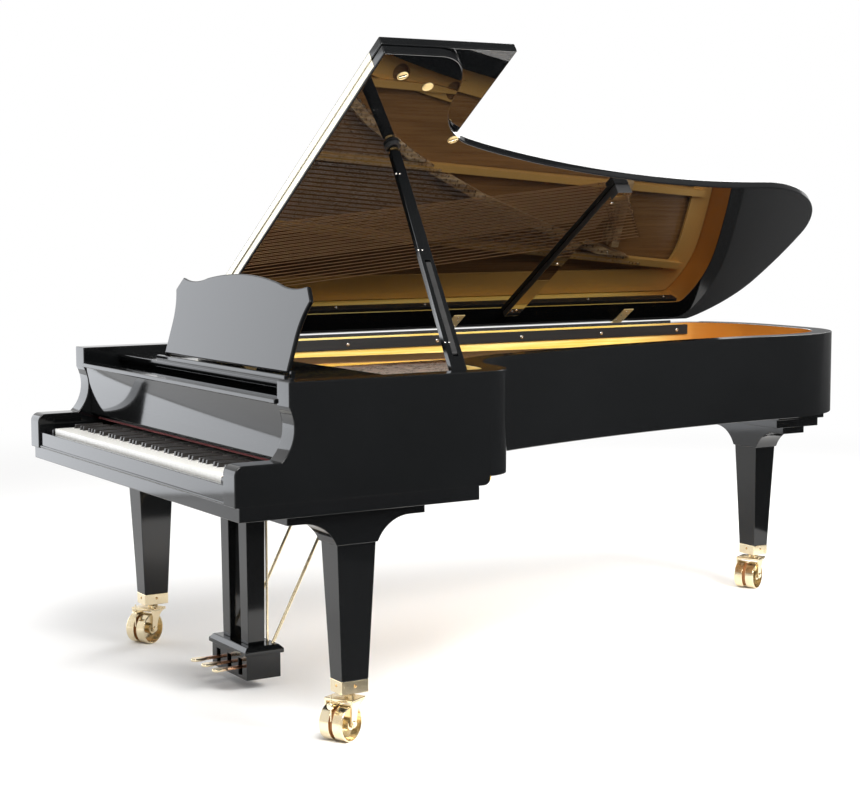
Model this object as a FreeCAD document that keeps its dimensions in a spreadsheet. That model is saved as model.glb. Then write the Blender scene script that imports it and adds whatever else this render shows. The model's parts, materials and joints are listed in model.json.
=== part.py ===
import FreeCAD
import Part
import Sketcher
import math
import os

Vector = FreeCAD.Vector
Rotation = FreeCAD.Rotation

# Driving sizes in millimetres and degrees, with the case centred on X and the floor at Z zero

SIZES = {
    # case
    "case_width": 1510,
    "case_length": 2850,
    "treble_side_length": 775.2,
    "rim_top": 981,
    "rim_bottom": 690,
    "rim_thickness": 70,
    "rim_step_y": 755,
    "cheek_front": 157,
    "cheek_curve_top": 917,
    "cheek_curve_foot": 134,
    "cheek_curve_radius": 118,
    "arm_top": 774,
    "arm_nose_radius": 26,
    "inner_rim_width": 55,
    "belly_rail_front": 720,
    "belly_rail_width": 32,
    "keybed_front": 12,
    "keybed_rear": 740,
    "keybed_bottom": 628,
    "keybed_thickness": 38,
    "cut_overrun": 20,
    "seat_gap": 0.3,
    "slide_gap": 1.5,
    # keyboard front
    "keyslip_front": 7,
    "keyslip_thickness": 18,
    "keyslip_height": 51,
    "key_block_width": 69,
    "key_block_length": 160,
    "key_block_height": 66,
    "key_block_gap": 5,
    "stretcher_front": 285,
    "stretcher_board": 22,
    "stretcher_foot": 800,
    "stretcher_depth": 35,
    # keys
    "key_gap": 1,
    "key_front": 29,
    "key_top": 734,
    "key_stick_height": 22,
    "key_head_length": 50,
    "key_rear": 430,
    "sharp_width": 10.5,
    "sharp_length": 97,
    "sharp_front_gap": 2.5,
    "sharp_rise": 12,
    "balance_rail_y": 245,
    "balance_rail_depth": 10,
    # key frame and action
    "frame_rail_depth": 60,
    "frame_rail_height": 34,
    "frame_end_width": 28,
    "key_dip_room": 12,
    "frame_back_rail_y": 392,
    "hammer_rail_y": 500,
    "hammer_rail_depth": 36,
    "hammer_rail_bottom": 770,
    "hammer_rail_height": 20,
    "hammer_line_y": 640,
    "hammer_head_length": 24,
    "hammer_head_top": 890,
    "hammer_head_width": 9,
    "hammer_shank": 6,
    # belly
    "soundboard_bottom": 842,
    "soundboard_thickness": 9,
    "brace_width": 60,
    "brace_bottom": 700,
    "brace_height": 85,
    "rib_width": 24,
    "rib_height": 18,
    # plate and pin block
    "pin_block_front": 430,
    "pin_block_depth": 150,
    "pin_block_height": 42,
    "plate_bottom": 866,
    "plate_thickness": 10,
    "plate_web_rear": 612,
    "strike_rear": 690,
    "cross_bar_depth": 24,
    "bearing_y": 590,
    "bearing_depth": 14,
    "plate_flange": 92,
    "plate_gap": 4,
    "plate_bar_width": 26,
    "plate_bar_height": 30,
    "plate_hole_radius": 34,
    "plate_hole_inset": 125,
    "plate_dowel_radius": 8,
    # strings
    "string_height": 905,
    "plain_string_width": 1.2,
    "wound_string_width": 3.4,
    "wound_string_lift": 15,
    "string_start_y": 468,
    "string_front": 585,
    "unison_spacing": 3.4,
    "wound_spacing": 5.2,
    "shortest_string": 160,
    "string_tail": 40,
    "wound_length_drop": 150,
    "bridge_width": 34,
    "bridge_room": 6,
    "pin_radius": 3.5,
    "pin_height": 58,
    "pin_row_spacing": 34,
    "pin_first_y": 470,
    # dampers
    "damper_line_y": 660,
    "damper_length": 34,
    "damper_height": 23,
    "damper_width": 8,
    "damper_wire": 2,
    "damper_tray_top": 800,
    "damper_tray_height": 16,
    "damper_tray_depth": 20,
    # lid
    "lid_gap": 4,
    "lid_thickness": 28,
    "lid_overhang": 18,
    "lid_front": 590,
    "lid_angle": 34.3,
    "lid_hinge_offset": 6,
    "lid_hinge_drop": 2,
    "hinge_barrel_radius": 5,
    "hinge_pin_radius": 2,
    "hinge_width": 46,
    "hinge_leaf_length": 92,
    "hinge_leaf_thickness": 2.4,
    "hinge_case_leaf_height": 40,
    "batten_start": 105,
    "batten_width": 60,
    "batten_thickness": 20,
    "batten_block": 46,
    "batten_block_rise": 14,
    "flap_length": 455,
    "flap_gap": 3,
    "flap_barrel_radius": 2.2,
    "flap_barrel_offset": 3.5,
    "flap_leaf_height": 22,
    "flap_leaf_thickness": 1.4,
    # props
    "prop_foot_inset": 31,
    "prop_foot_y": 740,
    "prop_foot_z": 960,
    "prop_cup_y": 816,
    "prop_cup_radius": 24,
    "prop_cup_bore": 15,
    "prop_cup_height": 11,
    "prop_cup_floor": 3,
    "prop_width_foot": 46,
    "prop_width_tip": 30,
    "prop_thickness": 24,
    "prop_head_radius": 13,
    "prop_pin_radius": 4,
    "prop_tip_radius": 11,
    "prop_tip_length": 26,
    "prop_tip_room": 0.6,
    "prop_taper_start": 30,
    "bracket_ear": 5,
    "bracket_gap": 3,
    "bracket_height": 30,
    "short_prop_pivot": 74,
    "short_prop_length": 316,
    "short_prop_width": 16,
    "short_prop_thickness": 13,
    "short_prop_gap": 1,
    "short_pin_radius": 2.2,
    "spine_rail_front": 700,
    "spine_rail_thickness": 12,
    "spine_rail_height": 38,
    "spine_rail_drop": 8,
    # fallboard
    "fallboard_top": 932,
    "fallboard_foot": 768,
    "fallboard_face_y": 178,
    "fallboard_back_y": 198,
    "fallboard_lip_front": 150,
    "fallboard_lip_height": 13,
    "fallboard_curve_radius": 420,
    "fallboard_neck_y": 162,
    "fallboard_pin_radius": 4,
    "fallboard_pin_rise": 9,
    # music shelf and desk
    "shelf_front": 275,
    "shelf_rear": 620,
    "shelf_bottom": 938,
    "shelf_thickness": 18,
    "shelf_lip_y": 305,
    "shelf_lip_depth": 12,
    "shelf_lip_height": 12,
    "shelf_lip_width": 880,
    "desk_y": 337,
    "desk_lift": 15,
    "desk_lean": 16,
    "desk_half_foot": 418,
    "desk_half_waist": 418,
    "desk_waist_height": 100,
    "desk_half_shoulder": 453,
    "desk_shoulder_height": 204,
    "desk_half_horn": 417,
    "desk_horn_height": 245,
    "desk_half_dip": 240,
    "desk_dip_height": 249,
    "desk_side_radius": 190,
    "desk_dip_radius": 360,
    "desk_crown_radius": 1500,
    "desk_thickness": 14,
    "desk_pin_radius": 4,
    "strut_width": 24,
    "strut_thickness": 8,
    "strut_pivot_height": 150,
    "strut_length": 170,
    # legs
    "leg_inset": 85,
    "leg_y": 375,
    "tail_leg_inset": 190,
    "leg_top": 536,
    "leg_foot": 160,
    "leg_depth_top": 118,
    "leg_depth_foot": 82,
    "leg_width_top": 92,
    "leg_width_foot": 66,
    "head_width": 102,
    "head_length": 420,
    "head_plate": 26,
    "head_curve_length": 330,
    "head_curve_radius": 108,
    "head_foot_ledge": 4,
    "tail_plate_margin": 40,
    "tail_plate_depth": 180,
    "ferrule_height": 36,
    # casters
    "wheel_radius": 50,
    "wheel_width": 24,
    "wheel_groove": 8,
    "wheel_hub_radius": 24,
    "wheel_round": 5,
    "axle_radius": 6,
    "axle_gap": 0.3,
    "fork_gap": 1.5,
    "fork_arm": 6,
    "fork_arm_depth": 24,
    "fork_plate": 9,
    "fork_room": 6,
    "caster_trail": 44,
    "caster_turn": 27,
    "stem_radius": 13,
    # lyre and pedals
    "lyre_post_x": 62,
    "lyre_post_width_top": 56,
    "lyre_post_width_foot": 49,
    "lyre_post_depth_top": 64,
    "lyre_post_depth_foot": 54,
    "lyre_post_y": 384,
    "lyre_head_width": 220,
    "lyre_head_depth": 96,
    "lyre_head_height": 14,
    "pedal_box_half": 120,
    "pedal_box_front": 335,
    "pedal_box_depth": 112,
    "pedal_box_bottom": 36,
    "pedal_box_height": 74,
    "pedal_box_wall": 10,
    "moulding_height": 25,
    "moulding_chamfer": 12,
    "moulding_reach": 8,
    "pedal_pitch": 75,
    "pedal_slot_width": 26,
    "pedal_slot_height": 50,
    "pedal_bottom": 66,
    "pedal_thickness": 9,
    "pedal_tip_y": 244,
    "pedal_toe_radius": 15,
    "pedal_shank_half": 7,
    "pedal_neck_length": 34,
    "pedal_neck_radius": 76,
    "pedal_pivot_y": 385,
    "pedal_rear_y": 434,
    "pedal_pin_radius": 3,
    "rod_y": 426,
    "rod_radius": 4,
    "rod_top": 650,
    "rod_gap": 1.5,
    "brace_rod_radius": 5,
    "brace_rod_x": 95,
    "brace_rod_foot_y": 434,
    "brace_rod_top_y": 690,
}

# Outline of the rim behind the straight treble side, as shares of half the width and of the length behind
RIM_OUTLINE_SHARES = [
    (1.000, 0),
    (0.951, 0.0371),
    (0.795, 0.0587),
    (0.689, 0.0663),
    (0.457, 0.1493),
    (0.4066, 0.2048),
    (0.192, 0.6019),
    (0.168, 0.8071),
    (0.0795, 0.9243),
    (-0.205, 0.9894),
    (-0.6185, 0.9927),
    (-0.948, 0.9407),
]

# Places along the same length
LID_HINGE_SHARES = (-0.0055, 0.3929, 0.7637)
RIB_SHARES = (0.0934, 0.217, 0.3407, 0.4643, 0.5879, 0.7115, 0.8352)
BASS_BRIDGE_SHARE = 0.7494
BATTEN_SHARE = 0.4939
SPINE_RAIL_SHARE = 0.8554

# Places across, as shares of half the width
BRACE_SHARES = (-0.62, -0.34, -0.06, 0.16)
BATTEN_END_SHARE = 0.2146
PROP_CUP_SHARE = 0.4689
TAIL_LEG_SHARE = -0.3841

# Places across, as shares of half the width inside the rim
PLAIN_FIRST_SHARE = -0.5255
PLAIN_LAST_SHARE = 0.908
WOUND_FIRST_SHARE = -0.9343
WOUND_LAST_SHARE = -0.584
STRIKE_HALF_SHARE = 0.9343
BEARING_HALF_SHARE = 0.949

# Plate and strings
LONGEST_STRING_SHARE = 0.8168
WOUND_LENGTH_SHARE = 0.8168
PLATE_BAR_SHARES = (-0.49, -0.15, 0.20, 0.46)
PLATE_BAR_LEAN_SHARE = -0.3307
PLATE_HOLE_SHARES = (0.2308, 0.3407, 0.4643, 0.5879, 0.7115, 0.8173)
WOUND_LEAN_SHARE = 0.3803
STRING_GROWTH_SHARE = 1.3
BRIDGE_NOTES = (0, 8, 16, 24, 32, 40, 48, 56, 62, 67)
WHITE_NAMES = ("c", "d", "e", "f", "g", "a", "b")
SHARP_AFTER = {"c": "c_sharp", "d": "d_sharp", "f": "f_sharp", "g": "g_sharp", "a": "a_sharp"}
WHITE_KEYS = 52
FIRST_WHITE = 5
WOUND_NOTES = 20
PLAIN_NOTES = 68
SINGLE_WOUND_NOTES = 8
UNISONS = 3
HOLE_LINE_POINTS = 800
DOWEL_LINE_POINTS = 40
DAMPED_NOTES = 66


class Size:
    """A length that knows both its number and the formula that binds it to the sheet."""

    def __init__(self, text, number):
        self.text = text
        self.number = number

    def __float__(self):
        return float(self.number)

    def __neg__(self):
        return Size(f"(-{self.text})", -self.number)

    def __add__(self, other):
        other = as_size(other)
        return Size(f"({self.text} + {other.text})", self.number + other.number)

    def __sub__(self, other):
        other = as_size(other)
        return Size(f"({self.text} - {other.text})", self.number - other.number)

    def __mul__(self, other):
        other = as_size(other)
        return Size(f"({self.text} * {other.text})", self.number * other.number)

    def __truediv__(self, other):
        other = as_size(other)
        return Size(f"({self.text} / {other.text})", self.number / other.number)

    def __radd__(self, other):
        return as_size(other) + self

    def __rsub__(self, other):
        return as_size(other) - self

    def __rmul__(self, other):
        return as_size(other) * self


def as_size(value):
    return value if isinstance(value, Size) else Size(f"({value!r})", value)


class Sheet:
    """Gives each named cell of the sizes sheet as a Size."""

    def __init__(self, document):
        self.cells = document.addObject("Spreadsheet::Sheet", "sizes")
        for row, (alias, value) in enumerate(SIZES.items(), start=1):
            self.cells.set(f"A{row}", alias)
            self.cells.set(f"B{row}", str(value))
            self.cells.setAlias(f"B{row}", alias)
        document.recompute()

    def __getattr__(self, alias):
        return Size(f"sizes.{alias}", self.cells.get(alias))


doc = FreeCAD.newDocument("grand_piano")
s = Sheet(doc)
nodes = []

half_width = s.case_width / 2
inner_half = half_width - s.rim_thickness
rear_length = s.case_length - s.treble_side_length
keybed_top = s.keybed_bottom + s.keybed_thickness
soundboard_top = s.soundboard_bottom + s.soundboard_thickness
belly_rear = s.belly_rail_front + s.belly_rail_width
lid_under = s.rim_top + s.lid_gap
lid_top = lid_under + s.lid_thickness
lid_axis_x = -half_width - s.lid_hinge_offset
lid_axis_z = lid_under - s.lid_hinge_drop
flap_axis_y = s.lid_front - s.flap_barrel_offset
flap_axis_z = lid_top + s.flap_gap / 2
shelf_top = s.shelf_bottom + s.shelf_thickness
key_bottom = s.key_top - s.key_stick_height
keyboard_half = inner_half - s.key_block_width - s.key_block_gap
key_pitch = keyboard_half * 2 / WHITE_KEYS
note_span = (keyboard_half - s.key_gap) * 2
plain_first_x = inner_half * PLAIN_FIRST_SHARE
plain_last_x = inner_half * PLAIN_LAST_SHARE
wound_first_x = inner_half * WOUND_FIRST_SHARE
wound_last_x = inner_half * WOUND_LAST_SHARE
string_room = s.case_length - s.string_front
prop_foot_x = inner_half - s.prop_foot_inset
prop_cup_x = half_width * PROP_CUP_SHARE
pedal_box_top = s.pedal_box_bottom + s.pedal_box_height
moulding_top = pedal_box_top + s.moulding_height
pedal_top = s.pedal_bottom + s.pedal_thickness


def along_case(share):
    """The place behind the straight treble side at a share of the length from there."""
    return s.treble_side_length + rear_length * share


# Helpers that make one feature each


def bind(feature, prop, value):
    feature.setExpression(prop, as_size(value).text)


def bind_base(feature, base):
    for axis, value in zip("xyz", base):
        bind(feature, f"Placement.Base.{axis}", value)


def number_vector(x, y, z):
    return Vector(float(x), float(y), float(z))


def box(label, corner, extents):
    feature = doc.addObject("Part::Box", label)
    for prop, value in zip(("Length", "Width", "Height"), extents):
        bind(feature, prop, value)
    bind_base(feature, corner)
    return feature


def centred_box(label, half_x, y, z, depth, height):
    return box(label, (-half_x, y, z), (half_x * 2, depth, height))


def cylinder(label, base, radius, height, axis=Vector(0, 0, 1)):
    feature = doc.addObject("Part::Cylinder", label)
    feature.Placement.Rotation = Rotation(Vector(0, 0, 1), axis)
    bind(feature, "Radius", radius)
    bind(feature, "Height", height)
    bind_base(feature, base)
    return feature


def sphere(label, centre, radius):
    feature = doc.addObject("Part::Sphere", label)
    bind(feature, "Radius", radius)
    bind_base(feature, centre)
    return feature


def taper(label, centre, foot, top, foot_z, top_z):
    """A post with rectangular ends, foot and top given as width along X and depth along Y."""
    feature = doc.addObject("Part::Wedge", label)
    feature.Placement.Rotation = Rotation(Vector(1, 0, 0), 90)
    bind(feature, "Xmin", -foot[0] / 2)
    bind(feature, "Xmax", foot[0] / 2)
    bind(feature, "Zmin", -foot[1] / 2)
    bind(feature, "Zmax", foot[1] / 2)
    bind(feature, "X2min", -top[0] / 2)
    bind(feature, "X2max", top[0] / 2)
    bind(feature, "Z2min", -top[1] / 2)
    bind(feature, "Z2max", top[1] / 2)
    bind(feature, "Ymin", 0)
    bind(feature, "Ymax", top_z - foot_z)
    bind_base(feature, (centre[0], centre[1], foot_z))
    return feature


def cut(label, base, *tools):
    feature = doc.addObject("Part::Cut", label)
    feature.Base = base
    feature.Tool = tools[0] if len(tools) == 1 else gather(label + "_tools", *tools)
    return feature


def fuse(label, *pieces):
    feature = doc.addObject("Part::MultiFuse", label)
    feature.Shapes = list(pieces)
    feature.Refine = True
    return feature


def overlap(label, first, second):
    feature = doc.addObject("Part::Common", label)
    feature.Base = first
    feature.Tool = second
    return feature


def gather(label, *pieces):
    feature = doc.addObject("Part::Compound", label)
    feature.Links = list(pieces)
    return feature


def shaped(label, shape):
    """A feature whose shape is worked out from the sheet by Part's own functions."""
    feature = doc.addObject("Part::Feature", label)
    feature.Shape = shape
    return feature


def node(feature, label):
    feature.Label = label
    nodes.append(feature)
    return feature


def origin_plane(body, role):
    return next(plane for plane in body.Origin.OriginFeatures if plane.Role == role)


def arc_between(start, end, radius):
    """The short arc from start to end, turning left for a positive radius and right for a negative one."""
    chord = end - start
    half = chord.Length / 2
    size = abs(radius)
    left = Vector(-chord.y, chord.x, 0).normalize()
    reach = math.sqrt(max(size * size - half * half, 0))
    centre = (start + end) / 2 + left * math.copysign(reach, radius)
    first, last = (start, end) if radius > 0 else (end, start)
    angles = [math.atan2(p.y - centre.y, p.x - centre.x) for p in (first, last)]
    return Part.ArcOfCircle(Part.Circle(centre, Vector(0, 0, 1), size), *angles)


def sketch(body, role, outline):
    """A closed outline of (across, up) points, where a third entry is the radius of the arc that arrives."""
    drawing = body.newObject("Sketcher::SketchObject", body.Name + "_sketch")
    drawing.AttachmentSupport = [(origin_plane(body, role), "")]
    drawing.MapMode = "FlatFace"
    points = [Vector(float(entry[0]), float(entry[1]), 0) for entry in outline]
    starts = []
    ends = []
    for index, entry in enumerate(outline):
        before = points[index - 1]
        here = points[index]
        if len(entry) == 2:
            edge = drawing.addGeometry(Part.LineSegment(before, here), False)
            starts.append((edge, 1))
            ends.append((edge, 2))
            continue
        radius = float(entry[2])
        edge = drawing.addGeometry(arc_between(before, here, radius), False)
        starts.append((edge, 1 if radius > 0 else 2))
        ends.append((edge, 2 if radius > 0 else 1))
    for index, entry in enumerate(outline):
        following = starts[(index + 1) % len(outline)]
        drawing.addConstraint(Sketcher.Constraint("Coincident", *ends[index], *following))
        for kind, value in zip(("DistanceX", "DistanceY"), entry):
            place = drawing.addConstraint(Sketcher.Constraint(kind, -1, 1, *ends[index], float(value)))
            bind(drawing, f"Constraints[{place}]", value)
        if len(entry) == 3:
            bend = as_size(entry[2])
            bend = bend if bend.number > 0 else -bend
            place = drawing.addConstraint(Sketcher.Constraint("Radius", ends[index][0], float(bend)))
            bind(drawing, f"Constraints[{place}]", bend)
    return drawing


def pad(label, role, outline, start, length):
    """Pads an outline from start along the plane's normal, which is -Y for XZ_Plane."""
    body = doc.addObject("PartDesign::Body", label)
    drawing = sketch(body, role, outline)
    bind(drawing, "AttachmentOffset.Base.z", start)
    feature = body.newObject("PartDesign::Pad", label + "_pad")
    feature.Profile = drawing
    bind(feature, "Length", length)
    return body


def turned(label, outline):
    """Turns an outline of (radius, height) points about Z."""
    body = doc.addObject("PartDesign::Body", label)
    drawing = sketch(body, "XZ_Plane", outline)
    feature = body.newObject("PartDesign::Revolution", label + "_turn")
    feature.Profile = drawing
    feature.ReferenceAxis = (drawing, ["V_Axis"])
    feature.Angle = 360
    return body


# Curves of the case


def rim_points():
    return [
        number_vector(half_width * across, along_case(along), 0)
        for across, along in RIM_OUTLINE_SHARES
    ]


def tangent_arc(start, heading, end):
    """The arc that leaves start along heading and reaches end, with its heading there."""
    chord = end - start
    turn = math.atan2(chord.y, chord.x) - heading
    middle_heading = heading + turn / 2
    span = chord.Length / 2 / math.cos(turn / 2)
    middle = start + Vector(math.cos(middle_heading), math.sin(middle_heading), 0) * span
    return Part.Arc(start, middle, end).toShape(), heading + 2 * turn


def rim_wire():
    """Two straight sides joined by arcs that run on from each other without a corner."""
    points = rim_points()
    edges = []
    heading = math.pi / 2
    for start, end in zip(points, points[1:]):
        edge, heading = tangent_arc(start, heading, end)
        edges.append(edge)
    last = points[-1]
    chord_heading = (heading + 3 * math.pi / 2) / 2
    run = (-float(half_width) - last.x) / math.cos(chord_heading)
    spine_end = last + Vector(math.cos(chord_heading), math.sin(chord_heading), 0) * run
    edge, heading = tangent_arc(last, heading, spine_end)
    edges.append(edge)
    front_left = Vector(-float(half_width), 0, 0)
    front_right = Vector(float(half_width), 0, 0)
    edges.append(Part.LineSegment(spine_end, front_left).toShape())
    edges.append(Part.LineSegment(front_left, front_right).toShape())
    edges.append(Part.LineSegment(front_right, points[0]).toShape())
    return Part.Wire(Part.__sortEdges__(edges))


def case_prism(label, inset, bottom, height):
    """The plan of the case, drawn in by inset, as a block from bottom upwards."""
    wire = rim_wire()
    if float(inset):
        wire = wire.makeOffset2D(-float(inset))
    face = Part.Face(wire)
    face.translate(Vector(0, 0, float(bottom)))
    return shaped(label, face.extrude(Vector(0, 0, float(height))))


def behind(label, start, bottom, height):
    """A block that covers the case behind start."""
    reach = s.cut_overrun
    corner = (-half_width - reach, start, bottom)
    return box(label, corner, (s.case_width + reach * 2, s.case_length + reach - start, height))


# Case


def outer_rim():
    reach = s.cut_overrun
    height = s.rim_top - keybed_top
    block = case_prism("rim_block", 0, keybed_top, height)
    hollow = case_prism("rim_hollow", s.rim_thickness, keybed_top - reach, height + reach * 2)
    mouth = centred_box("rim_mouth", inner_half, -reach, keybed_top - reach, s.rim_thickness + reach * 2,
                        height + reach * 2)
    cheeks = pad("cheek_cut", "YZ_Plane", [
        (-reach, s.rim_top + reach),
        (-reach, s.arm_top - s.arm_nose_radius),
        (0, s.arm_top - s.arm_nose_radius),
        (s.arm_nose_radius, s.arm_top, -s.arm_nose_radius),
        (s.cheek_curve_foot, s.arm_top),
        (s.cheek_front, s.cheek_curve_top, s.cheek_curve_radius),
        (s.cheek_front, s.rim_top + reach),
    ], -half_width - reach, s.case_width + reach * 2)
    step = s.rim_bottom - keybed_top
    belly = pad("rim_step_cut", "YZ_Plane", [
        (s.rim_step_y, keybed_top - reach),
        (s.case_length + reach, keybed_top - reach),
        (s.case_length + reach, s.rim_bottom),
        (s.rim_step_y + step, s.rim_bottom),
        (s.rim_step_y, keybed_top, -step),
    ], -half_width - reach, s.case_width + reach * 2)
    node(cut("rim_body", block, hollow, mouth, cheeks, belly), "outer_rim")


def inner_rim():
    height = s.soundboard_bottom - s.rim_bottom
    block = case_prism("inner_rim_block", s.rim_thickness, s.rim_bottom, height)
    hollow = case_prism("inner_rim_hollow", s.rim_thickness + s.inner_rim_width,
                        s.rim_bottom - s.cut_overrun, height + s.cut_overrun * 2)
    ring = cut("inner_rim_ring", block, hollow)
    keep = behind("inner_rim_keep", belly_rear, s.rim_bottom, height)
    node(overlap("inner_rim_body", ring, keep), "inner_rim")


def soundboard():
    block = case_prism("soundboard_block", s.rim_thickness, s.soundboard_bottom, s.soundboard_thickness)
    keep = behind("soundboard_keep", s.belly_rail_front, s.soundboard_bottom, s.soundboard_thickness)
    node(overlap("soundboard_body", block, keep), "soundboard")


def belly_braces():
    height = s.soundboard_bottom - s.rim_bottom
    rail = centred_box("belly_rail", inner_half, s.belly_rail_front, s.rim_bottom, s.belly_rail_width, height)
    beams = [
        box(f"brace_{index}", (half_width * share - s.brace_width / 2, belly_rear, s.brace_bottom),
            (s.brace_width, s.case_length - belly_rear, s.brace_height))
        for index, share in enumerate(BRACE_SHARES)
    ]
    ribs = [
        centred_box(f"rib_{index}", half_width, along_case(share),
                    s.soundboard_bottom - s.rib_height, s.rib_width, s.rib_height)
        for index, share in enumerate(RIB_SHARES)
    ]
    room = case_prism("brace_room", s.rim_thickness + s.inner_rim_width, s.rim_bottom, height)
    inside = overlap("braces_inside", gather("brace_set", *beams, *ribs), room)
    node(gather("brace_pieces", rail, inside), "belly_braces")


def keybed():
    board = centred_box("keybed_board", half_width, s.keybed_front, s.keybed_bottom,
                        s.keybed_rear - s.keybed_front, s.keybed_thickness)
    holes = [
        cylinder(f"keybed_hole_{index}", (s.pedal_pitch * index, s.rod_y, s.keybed_bottom - s.cut_overrun),
                 s.rod_radius + s.rod_gap, s.keybed_thickness + s.cut_overrun * 2)
        for index in (-1, 0, 1)
    ]
    node(cut("keybed_body", board, *holes), "keybed")


def front_boards():
    slip = centred_box("keyslip_body", inner_half, s.keyslip_front, keybed_top, s.keyslip_thickness,
                       s.keyslip_height)
    node(slip, "keyslip")
    slip_rear = s.keyslip_front + s.keyslip_thickness
    blocks = [
        box(f"key_block_{name}", (corner, slip_rear, keybed_top),
            (s.key_block_width, s.key_block_length, s.key_block_height))
        for name, corner in (("bass", -inner_half), ("treble", inner_half - s.key_block_width))
    ]
    node(gather("key_block_pair", *blocks), "key_blocks")
    top = s.shelf_bottom - s.seat_gap
    beam = pad("stretcher_body", "YZ_Plane", [
        (s.stretcher_front, s.stretcher_foot),
        (s.stretcher_front + s.stretcher_board, s.stretcher_foot),
        (s.stretcher_front + s.stretcher_board, top - s.stretcher_depth),
        (s.pin_block_front, top - s.stretcher_depth),
        (s.pin_block_front, top),
        (s.stretcher_front, top),
    ], -inner_half, inner_half * 2)
    node(beam, "stretcher")


def spine_rail():
    bottom = s.rim_top - s.spine_rail_drop - s.spine_rail_height
    length = along_case(SPINE_RAIL_SHARE) - s.spine_rail_front
    rail = box("spine_rail_body", (-inner_half, s.spine_rail_front, bottom),
               (s.spine_rail_thickness, length, s.spine_rail_height))
    node(rail, "spine_rail")


# Plate, pin block and strings


def note_share(note):
    """Place of a plain note in its row, 0 at the treble end and 1 at the bass end."""
    return note / (PLAIN_NOTES - 1)


def leaning(share):
    """The heading that moves across by a share of half the inner width over the room for the strings."""
    return number_vector(inner_half * share, string_room, 0).normalize()


def plain_start(note):
    across = float(plain_last_x) + (float(plain_first_x) - float(plain_last_x)) * note_share(note)
    return Vector(across, float(s.string_front), 0)


def plain_length(note):
    growth = float(string_room * LONGEST_STRING_SHARE / s.shortest_string)
    return float(s.shortest_string) * growth ** (note_share(note) ** STRING_GROWTH_SHARE)


def plain_heading(note):
    return leaning(PLATE_BAR_LEAN_SHARE * note_share(note))


def plain_bridge(note):
    return plain_start(note) + plain_heading(note) * plain_length(note)


def wound_start(note):
    share = note / (WOUND_NOTES - 1)
    across = float(wound_first_x) + (float(wound_last_x) - float(wound_first_x)) * share
    return Vector(across, float(s.string_front), 0)


def wound_heading():
    return leaning(WOUND_LEAN_SHARE)


def wound_length(note):
    return float(string_room * WOUND_LENGTH_SHARE - s.wound_length_drop * note / WOUND_NOTES)


def wire_prism(start, heading, length, height, width):
    """A string of square section that runs from its pin past the bearing at start and on for length."""
    lead = float(s.string_front - s.string_start_y)
    prism = Part.makeBox(width, lead + length, width, Vector(-width / 2, -lead, -width / 2))
    prism.rotate(Vector(0, 0, 0), Vector(0, 0, 1), -math.degrees(math.atan2(heading.x, heading.y)))
    prism.translate(Vector(start.x, start.y, height))
    return prism


def pin_place(start, row):
    return Vector(start.x, float(s.pin_first_y) + float(s.pin_row_spacing) * row, 0)


def strings():
    height = float(s.string_height)
    spacing = float(s.unison_spacing)
    plain = []
    pins = []
    pin_bottom = float(s.plate_bottom - s.pin_block_height / 2)
    for note in range(PLAIN_NOTES):
        for unison in range(UNISONS):
            start = plain_start(note) + Vector(spacing * (unison - 1), 0, 0)
            length = plain_length(note) + float(s.string_tail)
            plain.append(wire_prism(start, plain_heading(note), length, height, float(s.plain_string_width)))
            pins.append(pin_place(start, unison))
    wound = []
    lifted = height + float(s.wound_string_lift)
    for note in range(WOUND_NOTES):
        count = 1 if note < SINGLE_WOUND_NOTES else 2
        for unison in range(count):
            start = wound_start(note) + Vector(float(s.wound_spacing) * (unison - (count - 1) / 2), 0, 0)
            wound.append(wire_prism(start, wound_heading(), wound_length(note), lifted,
                                    float(s.wound_string_width)))
            pins.append(pin_place(start, unison))
    node(shaped("plain_string_set", Part.Compound(plain)), "plain_strings")
    node(shaped("wound_string_set", Part.Compound(wound)), "wound_strings")
    pin_set = [
        Part.makeCylinder(float(s.pin_radius), float(s.pin_height), Vector(place.x, place.y, pin_bottom))
        for place in pins
    ]
    node(shaped("tuning_pin_set", Part.Compound(pin_set)), "tuning_pins")
    return pins


def bridge_line():
    """Points along the long bridge from its treble end, a little beyond the last string."""
    line = [plain_bridge(note) for note in BRIDGE_NOTES]
    beyond = (line[0] - line[1]).normalize() * float(s.bridge_width / 2)
    return [line[0] + beyond] + line


def line_sides(line, side):
    """The front and rear edges of a strip that reaches side to each side of a line."""
    front = []
    rear = []
    for index, point in enumerate(line):
        run = line[min(index + 1, len(line) - 1)] - line[max(index - 1, 0)]
        across = Vector(-run.y, run.x, 0).normalize() * side
        front.append(point + across)
        rear.append(point - across)
    return front, rear


def polygon_prism(points, bottom, height):
    face = Part.Face(Part.makePolygon(points + points[:1]))
    face.translate(Vector(0, 0, float(bottom)))
    return face.extrude(Vector(0, 0, float(height)))


def bridge_bar(line, bottom, height):
    """An upright bar of the bridge's width along a line of points."""
    front, rear = line_sides(line, float(s.bridge_width / 2))
    return polygon_prism(front + rear[::-1], bottom, height)


def bridges():
    top = s.string_height - s.plain_string_width / 2
    long_bridge = bridge_bar(bridge_line(), soundboard_top, top - soundboard_top)
    wound_top = s.string_height + s.wound_string_lift - s.wound_string_width / 2
    run = float(along_case(BASS_BRIDGE_SHARE) - s.string_front)
    ends = [wound_start(note) + wound_heading() * run for note in (0, WOUND_NOTES - 1)]
    margin = Vector(float(s.bridge_width), 0, 0)
    bass_bridge = bridge_bar([ends[0] - margin, ends[1] + margin], soundboard_top, wound_top - soundboard_top)
    pair = shaped("bridge_pair", Part.Compound([long_bridge, bass_bridge]))
    notches = [plate_bar(share, s.bridge_room) for share in PLATE_BAR_SHARES]
    node(cut("bridge_body", pair, shaped("bridge_notches", Part.Compound(notches))), "bridges")


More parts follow.
